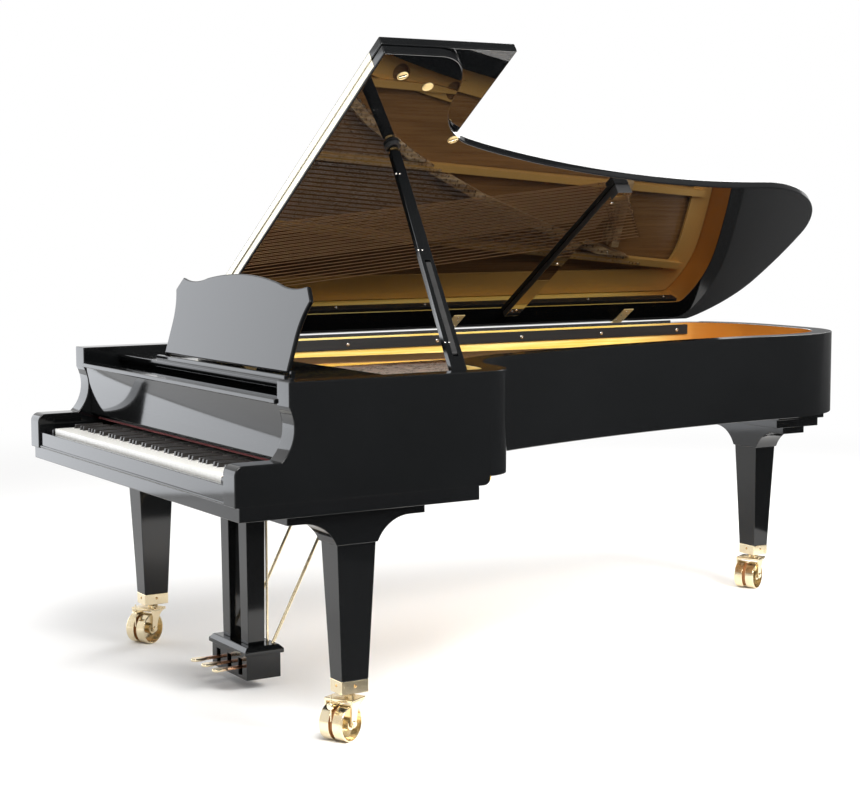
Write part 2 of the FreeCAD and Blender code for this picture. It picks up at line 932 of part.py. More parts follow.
def pin_block(pins):
    block = centred_box("pin_block_board", inner_half, s.pin_block_front, s.plate_bottom - s.pin_block_height,
                        s.pin_block_depth, s.pin_block_height)
    depth = float(s.pin_block_height / 2)
    holes = [
        Part.makeCylinder(float(s.pin_radius), depth + float(s.cut_overrun),
                          Vector(pin.x, pin.y, float(s.plate_bottom) - depth))
        for pin in pins
    ]
    node(cut("pin_block_body", block, shaped("pin_sockets", Part.Compound(holes))), "pin_block")


def plate_bar(share, room):
    """One bar of the plate, leaning as the strings beside it do, with room on its sides and below."""
    start = Vector(float(half_width) * share, float(s.strike_rear), 0)
    along = (float(plain_last_x) - start.x) / float(plain_last_x - plain_first_x)
    heading = leaning(PLATE_BAR_LEAN_SHARE * min(max(along, 0), 1))
    width = float(s.plate_bar_width + room * 2)
    rise = float(s.plate_bar_height + room * 3)
    bar = Part.makeBox(width, float(s.case_length), rise, Vector(-width / 2, 0, float(s.plate_bottom - room)))
    bar.rotate(Vector(0, 0, 0), Vector(0, 0, 1), -math.degrees(math.atan2(heading.x, heading.y)))
    bar.translate(start)
    return bar


def plate_windows(edge):
    """Openings for the hammers, for the speaking lengths up to the bridge and for the soundboard."""
    bottom = s.plate_bottom - s.cut_overrun
    height = s.plate_thickness + s.cut_overrun * 2
    rear = s.strike_rear + s.cross_bar_depth
    strike = centred_box("plate_strike", inner_half * STRIKE_HALF_SHARE, s.plate_web_rear, bottom,
                         s.strike_rear - s.plate_web_rear, height)
    opening = case_prism("plate_opening", edge + s.plate_flange, bottom, height)
    main = overlap("plate_main_window", opening, behind("plate_opening_keep", rear, bottom, height))
    _, far = line_sides(bridge_line(), float(s.bridge_width / 2 + s.bridge_room))
    near = [Vector(point.x, float(rear), 0) for point in (far[-1], far[0])]
    speaking = shaped("plate_speaking_window", polygon_prism(far + near, bottom, height))
    return strike, main, speaking


def bearing_bars():
    """Bars across the plate that carry the strings where their speaking lengths begin."""
    split = (plain_first_x + wound_last_x) / 2
    half = inner_half * BEARING_HALF_SHARE
    plain_top = s.string_height - s.plain_string_width / 2
    wound_top = s.string_height + s.wound_string_lift - s.wound_string_width / 2
    return [
        box("bearing_treble", (split, s.bearing_y, s.plate_bottom),
            (half - split, s.bearing_depth, plain_top - s.plate_bottom)),
        box("bearing_bass", (-half, s.bearing_y, s.plate_bottom),
            (half + split, s.bearing_depth, wound_top - s.plate_bottom)),
    ]


def iron_plate(pins):
    edge = s.rim_thickness + s.plate_gap
    web = case_prism("plate_block", edge, s.plate_bottom, s.plate_thickness)
    keep = behind("plate_keep", s.pin_block_front, s.plate_bottom, s.plate_thickness)
    sheet = overlap("plate_sheet", web, keep)
    frame = cut("plate_frame", sheet, *plate_windows(edge))
    bare_bars = [plate_bar(share, as_size(0)) for share in PLATE_BAR_SHARES]
    bars = shaped("plate_bar_set", Part.Compound(bare_bars))
    reach = case_prism("plate_bar_reach", edge + s.plate_flange / 2, s.plate_bottom, s.plate_bar_height)
    bars_inside = overlap("plate_bars", bars, reach)
    pin_holes = [
        Part.makeCylinder(float(s.pin_radius + s.seat_gap), float(s.plate_thickness + s.cut_overrun * 2),
                          Vector(pin.x, pin.y, float(s.plate_bottom - s.cut_overrun)))
        for pin in pins
    ]
    round_holes = [
        Part.makeCylinder(float(s.plate_hole_radius), float(s.plate_thickness + s.cut_overrun * 2),
                          number_vector(point.x, point.y, s.plate_bottom - s.cut_overrun))
        for point in plate_hole_places()
    ]
    holes = shaped("plate_holes", Part.Compound(pin_holes + round_holes))
    dowels = plate_dowels()
    node(fuse("plate_body", cut("plate_drilled", frame, holes), bars_inside, *bearing_bars(), *dowels),
         "iron_plate")


def plate_hole_places():
    """Points on a line inside the bent side, one at each share of the length."""
    line = rim_wire().makeOffset2D(-float(s.plate_hole_inset)).discretize(Number=HOLE_LINE_POINTS)
    bent_side = [point for point in line if point.x > float(half_width * TAIL_LEG_SHARE)]
    return [
        min(bent_side, key=lambda point: abs(point.y - float(along_case(share))))
        for share in PLATE_HOLE_SHARES
    ]


def plate_dowels():
    """Short posts that stand the plate on the edge of the soundboard."""
    line = rim_wire().makeOffset2D(-float(s.rim_thickness + s.plate_gap + s.plate_dowel_radius + s.seat_gap))
    height = float(s.plate_bottom - soundboard_top)
    posts = []
    for point in line.discretize(Number=DOWEL_LINE_POINTS):
        if point.y > float(belly_rear):
            base = Vector(point.x, point.y, float(soundboard_top))
            posts.append(Part.makeCylinder(float(s.plate_dowel_radius), height, base))
    return [shaped(f"plate_dowel_{index}", post) for index, post in enumerate(posts)]


# Action, keys and dampers


def note_x(note, count):
    return float(note_span) * (note / (count - 1) - 0.5)


def hammer_action():
    rail_top = key_bottom - s.seat_gap
    half = keyboard_half - s.key_gap
    bottom = keybed_top + s.seat_gap
    balance = centred_box("balance_rail", half, s.balance_rail_y - s.balance_rail_depth / 2, bottom,
                          s.balance_rail_depth, rail_top - bottom)
    front = centred_box("front_rail", half, s.key_front + s.key_gap, bottom, s.frame_rail_depth,
                        rail_top - s.key_dip_room - bottom)
    back = centred_box("back_rail", half, s.frame_back_rail_y, bottom, s.frame_rail_depth, rail_top - bottom)
    frame_length = s.hammer_rail_y + s.hammer_rail_depth - s.key_front
    ends = []
    for side in (-1, 1):
        corner_x = (half - s.frame_end_width / 2) * side - s.frame_end_width / 2
        name = "bass" if side < 0 else "treble"
        ends.append(box(f"frame_end_{name}", (corner_x, s.key_front + s.key_gap, bottom),
                        (s.frame_end_width, frame_length, s.frame_rail_height - s.key_dip_room)))
        ends.append(box(f"action_post_{name}", (corner_x, s.hammer_rail_y, bottom),
                        (s.frame_end_width, s.hammer_rail_depth, s.hammer_rail_bottom - bottom)))
    rail = centred_box("hammer_rail", half, s.hammer_rail_y, s.hammer_rail_bottom, s.hammer_rail_depth,
                       s.hammer_rail_height)
    frame = fuse("key_frame", balance, front, back, rail, *ends)
    shank = float(s.hammer_shank)
    shank_z = float(s.hammer_rail_bottom + s.hammer_rail_height / 2) - shank / 2
    rail_rear = float(s.hammer_rail_y + s.hammer_rail_depth)
    head_y = float(s.hammer_line_y - s.hammer_head_length / 2)
    count = WOUND_NOTES + PLAIN_NOTES
    hammers = []
    for note in range(count):
        across = note_x(note, count)
        stick = Part.makeBox(shank, head_y - rail_rear, shank, Vector(across - shank / 2, rail_rear, shank_z))
        width = float(s.hammer_head_width)
        head = Part.makeBox(width, float(s.hammer_head_length), float(s.hammer_head_top) - shank_z,
                            Vector(across - width / 2, head_y, shank_z))
        hammers.append(stick.fuse(head).removeSplitter())
    node(gather("action_pieces", frame, shaped("hammer_set", Part.Compound(hammers))), "hammer_action")


def key_names():
    """Names of the white keys from the lowest to the highest."""
    return [WHITE_NAMES[(index + FIRST_WHITE) % len(WHITE_NAMES)] for index in range(WHITE_KEYS)]


def white_key(index, names):
    left = key_pitch * index - keyboard_half + s.key_gap / 2
    right = left + key_pitch - s.key_gap
    notch = s.sharp_width / 2 + s.key_gap / 2
    left_sharp = index > 0 and names[index - 1] in SHARP_AFTER
    right_sharp = index < WHITE_KEYS - 1 and names[index] in SHARP_AFTER
    tail_left = left + notch if left_sharp else left
    tail_right = right - notch if right_sharp else right
    neck = s.key_front + s.key_head_length
    outline = [(left, s.key_front), (right, s.key_front), (right, neck)]
    if right_sharp:
        outline.append((tail_right, neck))
    outline += [(tail_right, s.key_rear), (tail_left, s.key_rear)]
    if left_sharp:
        outline.append((tail_left, neck))
    outline.append((left, neck))
    return pad(f"white_key_{index}", "XY_Plane", outline, key_bottom, s.key_stick_height)


def sharp_key(index):
    centre = key_pitch * (index + 1) - keyboard_half
    left = centre - s.sharp_width / 2
    front = s.key_front + s.key_head_length + s.sharp_front_gap
    stick = box(f"sharp_stick_{index}", (left, front, key_bottom),
                (s.sharp_width, s.key_rear - front, s.key_stick_height))
    top = box(f"sharp_top_{index}", (left, front, s.key_top), (s.sharp_width, s.sharp_length, s.sharp_rise))
    return fuse(f"sharp_key_{index}", stick, top)


def keys():
    names = key_names()
    groups = {}
    for index, name in enumerate(names):
        groups.setdefault(name, []).append(white_key(index, names))
        if name in SHARP_AFTER and index < WHITE_KEYS - 1:
            groups.setdefault(SHARP_AFTER[name], []).append(sharp_key(index))
    for name, pieces in groups.items():
        node(gather(f"key_group_{name}", *pieces), f"keys_{name}")


def dampers():
    head_bottom = float(s.string_height + s.plain_string_width / 2 + s.seat_gap)
    lifted_bottom = float(s.string_height + s.wound_string_lift + s.wound_string_width / 2 + s.seat_gap)
    depth = float(s.damper_length)
    wire = float(s.damper_wire)
    tray_top = float(s.damper_tray_top)
    front = float(s.damper_line_y) - depth / 2
    half = float(note_span) / 2
    tray = Part.makeBox(half * 2, float(s.damper_tray_depth), float(s.damper_tray_height),
                        Vector(-half, front + depth, tray_top - float(s.damper_tray_height)))
    pieces = [tray]
    width = float(s.damper_width)
    top = head_bottom + float(s.damper_height)
    wound_gap = (wound_start(1).x - wound_start(0).x) / 2
    plain_gap = (plain_start(0).x - plain_start(1).x) / 2
    for note in range(DAMPED_NOTES):
        bass = note < WOUND_NOTES
        plain = PLAIN_NOTES - 1 - (note - WOUND_NOTES)
        start = wound_start(note) if bass else plain_start(plain)
        heading = wound_heading() if bass else plain_heading(plain)
        run = (front + depth + wire / 2 - start.y) / heading.y
        across = start.x + heading.x * run
        bottom = lifted_bottom if bass else head_bottom
        stem_x = across + (wound_gap if bass else plain_gap) - wire / 2
        head = Part.makeBox(width, depth, top - bottom, Vector(across - width / 2, front, bottom))
        link = Part.makeBox(stem_x + wire - across, wire, wire, Vector(across, front + depth, top - wire))
        stem = Part.makeBox(wire, wire, top - tray_top, Vector(stem_x, front + depth, tray_top))
        pieces.append(head.fuse([link, stem]).removeSplitter())
    node(shaped("damper_set", Part.Compound(pieces)), "dampers")


# Lid, flap and props


def lid_place():
    """Turns the flat lid about its hinge line to its open angle."""
    centre = number_vector(lid_axis_x, 0, lid_axis_z)
    return FreeCAD.Placement(Vector(0, 0, 0), Rotation(Vector(0, -1, 0), float(s.lid_angle)), centre)


def open_node(feature, label):
    holder = gather(label + "_open", feature)
    holder.Placement = lid_place()
    return node(holder, label)


def lid():
    block = case_prism("lid_block", -s.lid_overhang, lid_under, s.lid_thickness)
    keep = box("lid_keep", (-half_width, s.lid_front, lid_under),
               (s.case_width + s.lid_overhang * 2, s.case_length, s.lid_thickness))
    open_node(overlap("lid_board", block, keep), "lid")


def lid_hinges():
    lid_leaves = []
    case_leaves = []
    third = s.hinge_width / 3
    for index, share in enumerate(LID_HINGE_SHARES):
        front = along_case(share) - s.hinge_width / 2
        leaf = box(f"lid_leaf_{index}",
                   (lid_axis_x, front + third + s.seat_gap, lid_under - s.hinge_leaf_thickness),
                   (s.hinge_leaf_length, third - s.seat_gap * 2, s.hinge_leaf_thickness))
        wide = box(f"lid_leaf_wide_{index}", (-half_width + s.slide_gap, front,
                                              lid_under - s.hinge_leaf_thickness),
                   (s.hinge_leaf_length, s.hinge_width, s.hinge_leaf_thickness))
        clear = cylinder(f"lid_leaf_clear_{index}", (lid_axis_x, front, lid_axis_z),
                         s.hinge_pin_radius + s.seat_gap, s.hinge_width, Vector(0, 1, 0))
        tube = cylinder(f"lid_barrel_{index}", (lid_axis_x, front + third + s.seat_gap, lid_axis_z),
                        s.hinge_barrel_radius, third - s.seat_gap * 2, Vector(0, 1, 0))
        blank = fuse(f"lid_hinge_blank_{index}", leaf, wide, tube)
        lid_leaves.append(cut(f"lid_hinge_{index}", blank, clear))
        plate = box(f"case_leaf_{index}",
                    (-half_width - s.hinge_leaf_thickness, front,
                     lid_axis_z - s.hinge_barrel_radius - s.hinge_case_leaf_height),
                    (s.hinge_leaf_thickness, s.hinge_width, s.hinge_case_leaf_height))
        knuckles = []
        for end, start in (("front", front), ("rear", front + third * 2)):
            knuckles.append(cylinder(f"case_barrel_{end}_{index}", (lid_axis_x, start, lid_axis_z),
                                     s.hinge_barrel_radius, third, Vector(0, 1, 0)))
            knuckles.append(box(f"case_web_{end}_{index}",
                                (lid_axis_x, start, lid_axis_z - s.hinge_barrel_radius * 2),
                                (s.lid_hinge_offset, third, s.hinge_barrel_radius * 2 - s.hinge_pin_radius)))
        pin = cylinder(f"case_pin_{index}", (lid_axis_x, front, lid_axis_z), s.hinge_pin_radius,
                       s.hinge_width, Vector(0, 1, 0))
        case_leaves.append(fuse(f"case_hinge_{index}", plate, pin, *knuckles))
    strip = box("flap_lid_leaf",
                (-half_width, s.lid_front - s.flap_leaf_thickness, lid_top - s.flap_leaf_height),
                (s.case_width + s.lid_overhang, s.flap_leaf_thickness, s.flap_leaf_height))
    open_node(gather("lid_hinge_set", *lid_leaves, strip), "lid_hinges")
    node(gather("case_hinge_set", *case_leaves, prop_bracket()), "case_hinges")


def front_flap():
    board = box("flap_board", (-half_width, s.lid_front + s.seat_gap, lid_top + s.flap_gap),
                (s.case_width + s.lid_overhang, s.flap_length, s.lid_thickness))
    open_node(board, "front_flap")
    knuckle = cylinder("flap_barrel", (-half_width, flap_axis_y, flap_axis_z), s.flap_barrel_radius,
                       s.case_width + s.lid_overhang, Vector(1, 0, 0))
    strip_depth = s.lid_front + s.seat_gap - flap_axis_y
    strip = box("flap_leaf", (-half_width, flap_axis_y, lid_top + s.flap_gap),
                (s.case_width + s.lid_overhang, strip_depth, s.flap_leaf_thickness))
    face = box("flap_face_leaf", (-half_width, s.lid_front + s.seat_gap - s.flap_leaf_thickness,
                                  lid_top + s.flap_gap),
               (s.case_width + s.lid_overhang, s.flap_leaf_thickness, s.flap_leaf_height))
    open_node(fuse("flap_hinge_body", knuckle, strip, face), "flap_hinge")


def lid_batten():
    start = -half_width + s.batten_start
    end = half_width * BATTEN_END_SHARE
    front = along_case(BATTEN_SHARE) - s.batten_width / 2
    bar = box("batten_bar", (start, front, lid_under - s.batten_thickness),
              (end - start, s.batten_width, s.batten_thickness))
    block_height = s.batten_thickness + s.batten_block_rise
    block = box("batten_block", (end - s.batten_block, front, lid_under - block_height),
                (s.batten_block, s.batten_width, block_height))
    open_node(fuse("batten_body", bar, block), "lid_batten")


def prop_cup():
    top = lid_under - s.prop_cup_height
    disc = cylinder("cup_disc", (prop_cup_x, s.prop_cup_y, top), s.prop_cup_radius, s.prop_cup_height)
    bore = cylinder("cup_bore", (prop_cup_x, s.prop_cup_y, top - s.cut_overrun), s.prop_cup_bore,
                    s.prop_cup_height - s.prop_cup_floor + s.cut_overrun)
    mouth = box("cup_mouth", (prop_cup_x - s.prop_cup_radius * 2, s.prop_cup_y - s.prop_cup_bore,
                              top - s.cut_overrun),
                (s.prop_cup_radius * 2, s.prop_cup_bore * 2,
                 s.prop_cup_height - s.prop_cup_floor + s.cut_overrun))
    open_node(cut("cup_body", disc, bore, mouth), "prop_cup")


def prop_foot():
    return number_vector(prop_foot_x, s.prop_foot_y, s.prop_foot_z)


def prop_axis():
    """From the foot's pivot to the floor of the cup on the open lid."""
    cup = number_vector(prop_cup_x, s.prop_cup_y, lid_under - s.prop_cup_floor)
    return lid_place().multVec(cup) - prop_foot()


def prop_yaw():
    run = prop_axis()
    return Rotation(Vector(0, 0, 1), math.degrees(math.atan2(-run.y, -run.x)))


def prop_place():
    run = prop_axis()
    lean = math.degrees(math.atan2(math.hypot(run.x, run.y), run.z))
    return FreeCAD.Placement(prop_foot(), prop_yaw().multiply(Rotation(Vector(0, -1, 0), lean)))


def prop_bracket():
    """Two ears and a pin on the inner face of the treble side."""
    inside = s.prop_width_foot / 2 + s.bracket_gap
    span = inner_half - prop_foot_x + s.prop_head_radius
    ears = []
    for name, start in (("front", -inside - s.bracket_ear), ("rear", inside)):
        ears.append(box(f"bracket_{name}", (prop_foot_x - s.prop_head_radius, s.prop_foot_y + start,
                                            s.prop_foot_z - s.bracket_height / 2),
                        (span, s.bracket_ear, s.bracket_height)))
    back = box("bracket_back", (inner_half - s.bracket_ear, s.prop_foot_y - inside - s.bracket_ear,
                                s.prop_foot_z - s.bracket_height / 2),
               (s.bracket_ear, (inside + s.bracket_ear) * 2, s.bracket_height))
    rod = cylinder("bracket_rod", (0, -inside - s.bracket_ear, 0), s.prop_pin_radius,
                   (inside + s.bracket_ear) * 2, Vector(0, 1, 0))
    pin = gather("bracket_pin", rod)
    pin.Placement = FreeCAD.Placement(prop_foot(), prop_yaw())
    return fuse("bracket_body", *ears, back, pin)


def props():
    length = prop_axis().Length
    tip = float(s.prop_tip_length)
    body_top = length - tip
    across = (s.prop_thickness, s.prop_width_foot)
    at_tip = (s.prop_thickness, s.prop_width_tip)
    shaft = taper("prop_shaft", (0, 0), across, at_tip, s.prop_taper_start, body_top)
    neck = box("prop_neck", (-s.prop_thickness / 2, -s.prop_width_foot / 2, 0),
               (s.prop_thickness, s.prop_width_foot, s.prop_taper_start))
    head = cylinder("prop_head", (0, -s.prop_width_foot / 2, 0), s.prop_head_radius, s.prop_width_foot,
                    Vector(0, 1, 0))
    bore = cylinder("prop_bore", (0, -s.prop_width_foot, 0), s.prop_pin_radius + s.seat_gap,
                    s.prop_width_foot * 2, Vector(0, 1, 0))
    peg_length = s.prop_tip_length - s.prop_tip_room - s.prop_tip_radius
    peg = cylinder("prop_peg", (0, 0, body_top), s.prop_tip_radius, peg_length)
    peg_end = sphere("prop_peg_end", (0, 0, body_top + float(peg_length)), s.prop_tip_radius)
    gap = s.short_prop_gap
    slot = box("prop_slot", (s.prop_thickness / 2 - s.short_prop_thickness - gap,
                             -s.short_prop_width / 2 - gap, s.short_prop_pivot - s.short_prop_thickness),
               (s.short_prop_thickness * 2, s.short_prop_width + gap * 2,
                s.short_prop_length + s.short_prop_thickness + gap))
    pivot_x = s.prop_thickness / 2 - s.short_prop_thickness / 2
    pin = cylinder("short_pin", (pivot_x, -s.short_prop_width / 2 - gap * 2, s.short_prop_pivot),
                   s.short_pin_radius, s.short_prop_width + gap * 4, Vector(0, 1, 0))
    blank = fuse("prop_blank", shaft, neck, head, peg, peg_end)
    long_prop = fuse("prop_whole", cut("prop_cut", blank, bore, slot), pin)
    holder = gather("long_prop_up", long_prop)
    holder.Placement = prop_place()
    node(holder, "long_prop")
    stick_length = s.short_prop_length - s.short_prop_thickness / 2
    stick = box("short_stick", (s.prop_thickness / 2 - s.short_prop_thickness, -s.short_prop_width / 2,
                                s.short_prop_pivot),
                (s.short_prop_thickness, s.short_prop_width, stick_length))
    round_end = cylinder("short_end", (pivot_x, -s.short_prop_width / 2, s.short_prop_pivot),
                         s.short_prop_thickness / 2, s.short_prop_width, Vector(0, 1, 0))
    eye = cylinder("short_eye", (pivot_x, -s.short_prop_width, s.short_prop_pivot),
                   s.short_pin_radius + s.seat_gap, s.short_prop_width * 2, Vector(0, 1, 0))
    short = gather("short_prop_up", cut("short_whole", fuse("short_blank", stick, round_end), eye))
    short.Placement = prop_place()
    node(short, "short_prop")


# Front fittings


def fallboard():
    half = inner_half - s.slide_gap
    lip_foot = s.fallboard_top - s.fallboard_lip_height
    panel = pad("fallboard_panel", "YZ_Plane", [
        (s.fallboard_face_y, s.fallboard_foot, -s.fallboard_curve_radius),
        (s.fallboard_back_y, s.fallboard_foot),
        (s.fallboard_back_y, s.fallboard_top),
        (s.fallboard_lip_front, s.fallboard_top),
        (s.fallboard_lip_front, lip_foot),
        (s.fallboard_neck_y, lip_foot),
    ], -half, half * 2)
    pins = [
        cylinder(f"fallboard_pin_{index}", (start, fallboard_pivot_y(), fallboard_pivot_z()),
                 s.fallboard_pin_radius, s.slide_gap - s.seat_gap, Vector(1, 0, 0))
        for index, start in enumerate((half, -half - s.slide_gap + s.seat_gap))
    ]
    node(fuse("fallboard_body", panel, *pins), "fallboard")


def fallboard_pivot_y():
    return (s.fallboard_face_y + s.fallboard_back_y) / 2


def fallboard_pivot_z():
    return s.fallboard_foot + s.fallboard_pin_rise


def desk_pivot_z():
    return shelf_top + s.desk_lift


def desk_place():
    base = number_vector(0, s.desk_y, desk_pivot_z())
    return FreeCAD.Placement(base, Rotation(Vector(-1, 0, 0), float(s.desk_lean)))


def music_shelf():
    half = inner_half - s.slide_gap
    board = centred_box("shelf_board", half, s.shelf_front, s.shelf_bottom, s.shelf_rear - s.shelf_front,
                        s.shelf_thickness)
    lip = centred_box("shelf_lip", s.shelf_lip_width / 2, s.shelf_lip_y, shelf_top, s.shelf_lip_depth,
                      s.shelf_lip_height)
    ears = []
    for name, start in (("bass", -s.desk_half_foot - s.desk_thickness - s.seat_gap),
                        ("treble", s.desk_half_foot + s.seat_gap)):
        ears.append(box(f"desk_ear_{name}", (start, s.desk_y - s.desk_thickness / 2, shelf_top),
                        (s.desk_thickness, s.desk_thickness, s.desk_lift + s.desk_thickness / 2)))
    node(fuse("shelf_body", board, lip, *ears), "music_shelf")


def music_desk():
    outline = [
        (-s.desk_half_foot, 0),
        (s.desk_half_foot, 0),
        (s.desk_half_waist, s.desk_waist_height),
        (s.desk_half_shoulder, s.desk_shoulder_height, -s.desk_side_radius),
        (s.desk_half_horn, s.desk_horn_height),
        (s.desk_half_dip, s.desk_dip_height, -s.desk_dip_radius),
        (-s.desk_half_dip, s.desk_dip_height, s.desk_crown_radius),
        (-s.desk_half_horn, s.desk_horn_height, -s.desk_dip_radius),
        (-s.desk_half_shoulder, s.desk_shoulder_height),
        (-s.desk_half_waist, s.desk_waist_height, -s.desk_side_radius),
    ]
    panel = pad("desk_panel", "XZ_Plane", outline, 0, s.desk_thickness)
    pins = [
        cylinder(f"desk_pin_{index}", (start, -s.desk_thickness / 2, 0), s.desk_pin_radius,
                 s.desk_thickness / 2, Vector(1, 0, 0))
        for index, start in enumerate((s.desk_half_foot - s.desk_thickness / 2, -s.desk_half_foot))
    ]
    holder = gather("desk_up", fuse("desk_body", panel, *pins))
    holder.Placement = desk_place()
    node(holder, "music_desk")
    leg = box("strut_leg", (-s.strut_width / 2, -s.strut_thickness / 2, -s.strut_length),
              (s.strut_width, s.strut_thickness, s.strut_length))
    eye = cylinder("strut_eye", (-s.strut_width / 2, 0, 0), s.strut_thickness / 2, s.strut_width,
                   Vector(1, 0, 0))
    strut = gather("strut_down", fuse("strut_body", leg, eye))
    strut.Placement = desk_place().multiply(FreeCAD.Placement(
        strut_pivot(), Rotation(Vector(1, 0, 0), strut_swing())))
    node(strut, "desk_strut")


def strut_pivot():
    return number_vector(0, s.strut_thickness / 2 + s.seat_gap, s.strut_pivot_height)


def strut_swing():
    """Angle between the desk's back and the strut whose foot stands on the shelf."""
    drop = desk_place().multVec(strut_pivot()).z - float(shelf_top + s.seat_gap)
    side = float(s.strut_thickness / 2)
    length = float(s.strut_length)
    upright = math.acos(drop / math.hypot(length, side)) + math.atan2(side, length)
    return math.degrees(upright) + float(s.desk_lean)


# Legs, casters, lyre and pedals


def leg_head(label, top):
    """A head with hollow-curved shoulders, its length along Y, its middle on the Z axis."""
    half = s.head_length / 2
    curve = s.head_curve_length / 2
    foot = s.leg_depth_top / 2 + s.head_foot_ledge
    plate = top - s.head_plate
    return pad(label, "YZ_Plane", [
        (-half, top),
        (-half, plate),
        (-curve, plate),
        (-foot, s.leg_top, -s.head_curve_radius),
        (foot, s.leg_top),
        (curve, plate, -s.head_curve_radius),
        (half, plate),
        (half, top),
    ], -s.head_width / 2, s.head_width)


def leg(label, extra):
    head = leg_head(label + "_head", s.keybed_bottom)
    post = taper(label + "_post", (0, 0), (s.leg_width_foot, s.leg_depth_foot),
                 (s.leg_width_top, s.leg_depth_top), s.leg_foot, s.leg_top)
    return fuse(label + "_whole", head, post, *extra)


def placed(label, feature, x, y, turn):
    holder = gather(label, feature)
    holder.Placement = FreeCAD.Placement(number_vector(x, y, 0), Rotation(Vector(0, 0, 1), turn))
    return holder


def leg_places():
    leg_x = half_width - s.leg_inset
    return (
        ("bass", -leg_x, s.leg_y, 0),
        ("treble", leg_x, s.leg_y, 0),
        ("tail", half_width * TAIL_LEG_SHARE, s.case_length - s.tail_leg_inset, 90),
    )


def legs():
    rise = (s.rim_bottom - s.keybed_bottom) / 2
    steps = []
    for index, margin in enumerate((s.tail_plate_margin / 2, s.tail_plate_margin)):
        half_length = s.head_length / 2 + margin
        half_depth = s.tail_plate_depth / 2 + margin / 2
        steps.append(box(f"tail_plate_{index}", (-half_depth, -half_length, s.keybed_bottom + rise * index),
                         (half_depth * 2, half_length * 2, rise)))
    pieces = []
    ferrules = []
    for name, x, y, turn in leg_places():
        extra = steps if name == "tail" else []
        pieces.append(placed(f"leg_{name}", leg(f"leg_{name}_wood", extra), x, y, turn))
        shoe = box(f"ferrule_{name}_block", (-s.leg_width_foot / 2, -s.leg_depth_foot / 2,
                                             s.leg_foot - s.ferrule_height),
                   (s.leg_width_foot, s.leg_depth_foot, s.ferrule_height))
        ferrules.append(placed(f"ferrule_{name}", shoe, x, y, turn))
    node(gather("leg_set", *pieces), "legs")
    node(gather("ferrule_set", *ferrules), "caster_ferrules")


def wheel_pair(label):
    half = s.wheel_groove / 2 + s.wheel_width
    groove = s.wheel_groove / 2
    bore = s.axle_radius + s.axle_gap
    edge = s.wheel_radius - s.wheel_round
    return turned(label, [
        (bore, -half),
        (edge, -half),
        (s.wheel_radius, -half + s.wheel_round, s.wheel_round),
        (s.wheel_radius, -groove),
        (s.wheel_hub_radius, -groove),
        (s.wheel_hub_radius, groove),
        (s.wheel_radius, groove),
        (s.wheel_radius, half - s.wheel_round),
        (edge, half, s.wheel_round),
        (bore, half),
    ])


def caster_fork(label):
    inside = s.wheel_groove / 2 + s.wheel_width + s.fork_gap
    outside = inside + s.fork_arm
    plate_bottom = s.wheel_radius * 2 + s.fork_room
    stem_top = s.leg_foot - s.ferrule_height - s.seat_gap
    plate_front = -s.caster_trail - s.fork_arm_depth / 2
    plate = box(label + "_plate", (-outside, plate_front, plate_bottom),
                (outside * 2, s.caster_trail + s.fork_arm_depth / 2 + s.stem_radius, s.fork_plate))
    arms = [
        box(f"{label}_arm_{index}", (start, plate_front, s.wheel_radius - s.fork_arm_depth / 2),
            (s.fork_arm, s.fork_arm_depth, plate_bottom - s.wheel_radius + s.fork_arm_depth / 2))
        for index, start in enumerate((-outside, inside))
    ]
    axle = cylinder(label + "_axle", (-outside, -s.caster_trail, s.wheel_radius), s.axle_radius, outside * 2,
                    Vector(1, 0, 0))
    stem = cylinder(label + "_stem", (0, 0, plate_bottom), s.stem_radius, stem_top - plate_bottom)
    return fuse(label, plate, axle, stem, *arms)


def casters():
    turn = float(s.caster_turn)
    for name, x, y, _ in leg_places():
        fork = placed(f"fork_{name}_turned", caster_fork(f"fork_{name}"), x, y, turn)
        node(fork, f"caster_fork_{name}")
        wheel = wheel_pair(f"wheel_{name}")
        wheel.Placement = FreeCAD.Placement(
            number_vector(0, -s.caster_trail, s.wheel_radius), Rotation(Vector(0, 0, 1), Vector(1, 0, 0)))
        node(placed(f"wheel_{name}_turned", wheel, x, y, turn), f"caster_wheels_{name}")


def lyre():
    top = s.keybed_bottom
    head = centred_box("lyre_head", s.lyre_head_width / 2, s.lyre_post_y - s.lyre_head_depth / 2,
                       top - s.lyre_head_height, s.lyre_head_depth, s.lyre_head_height)
    posts = [
        taper(f"lyre_post_{index}", (s.lyre_post_x * side, s.lyre_post_y),
              (s.lyre_post_width_foot, s.lyre_post_depth_foot),
              (s.lyre_post_width_top, s.lyre_post_depth_top), moulding_top, top - s.lyre_head_height)
        for index, side in enumerate((-1, 1))
    ]
    holes = [
        cylinder(f"lyre_head_hole_{index}", (s.pedal_pitch * index, s.rod_y, top - s.lyre_head_height
                                             - s.cut_overrun),
                 s.rod_radius + s.rod_gap, s.lyre_head_height + s.cut_overrun * 2)
        for index in (-1, 0, 1)
    ]
    node(cut("lyre_body", fuse("lyre_blank", head, *posts), *holes), "lyre")


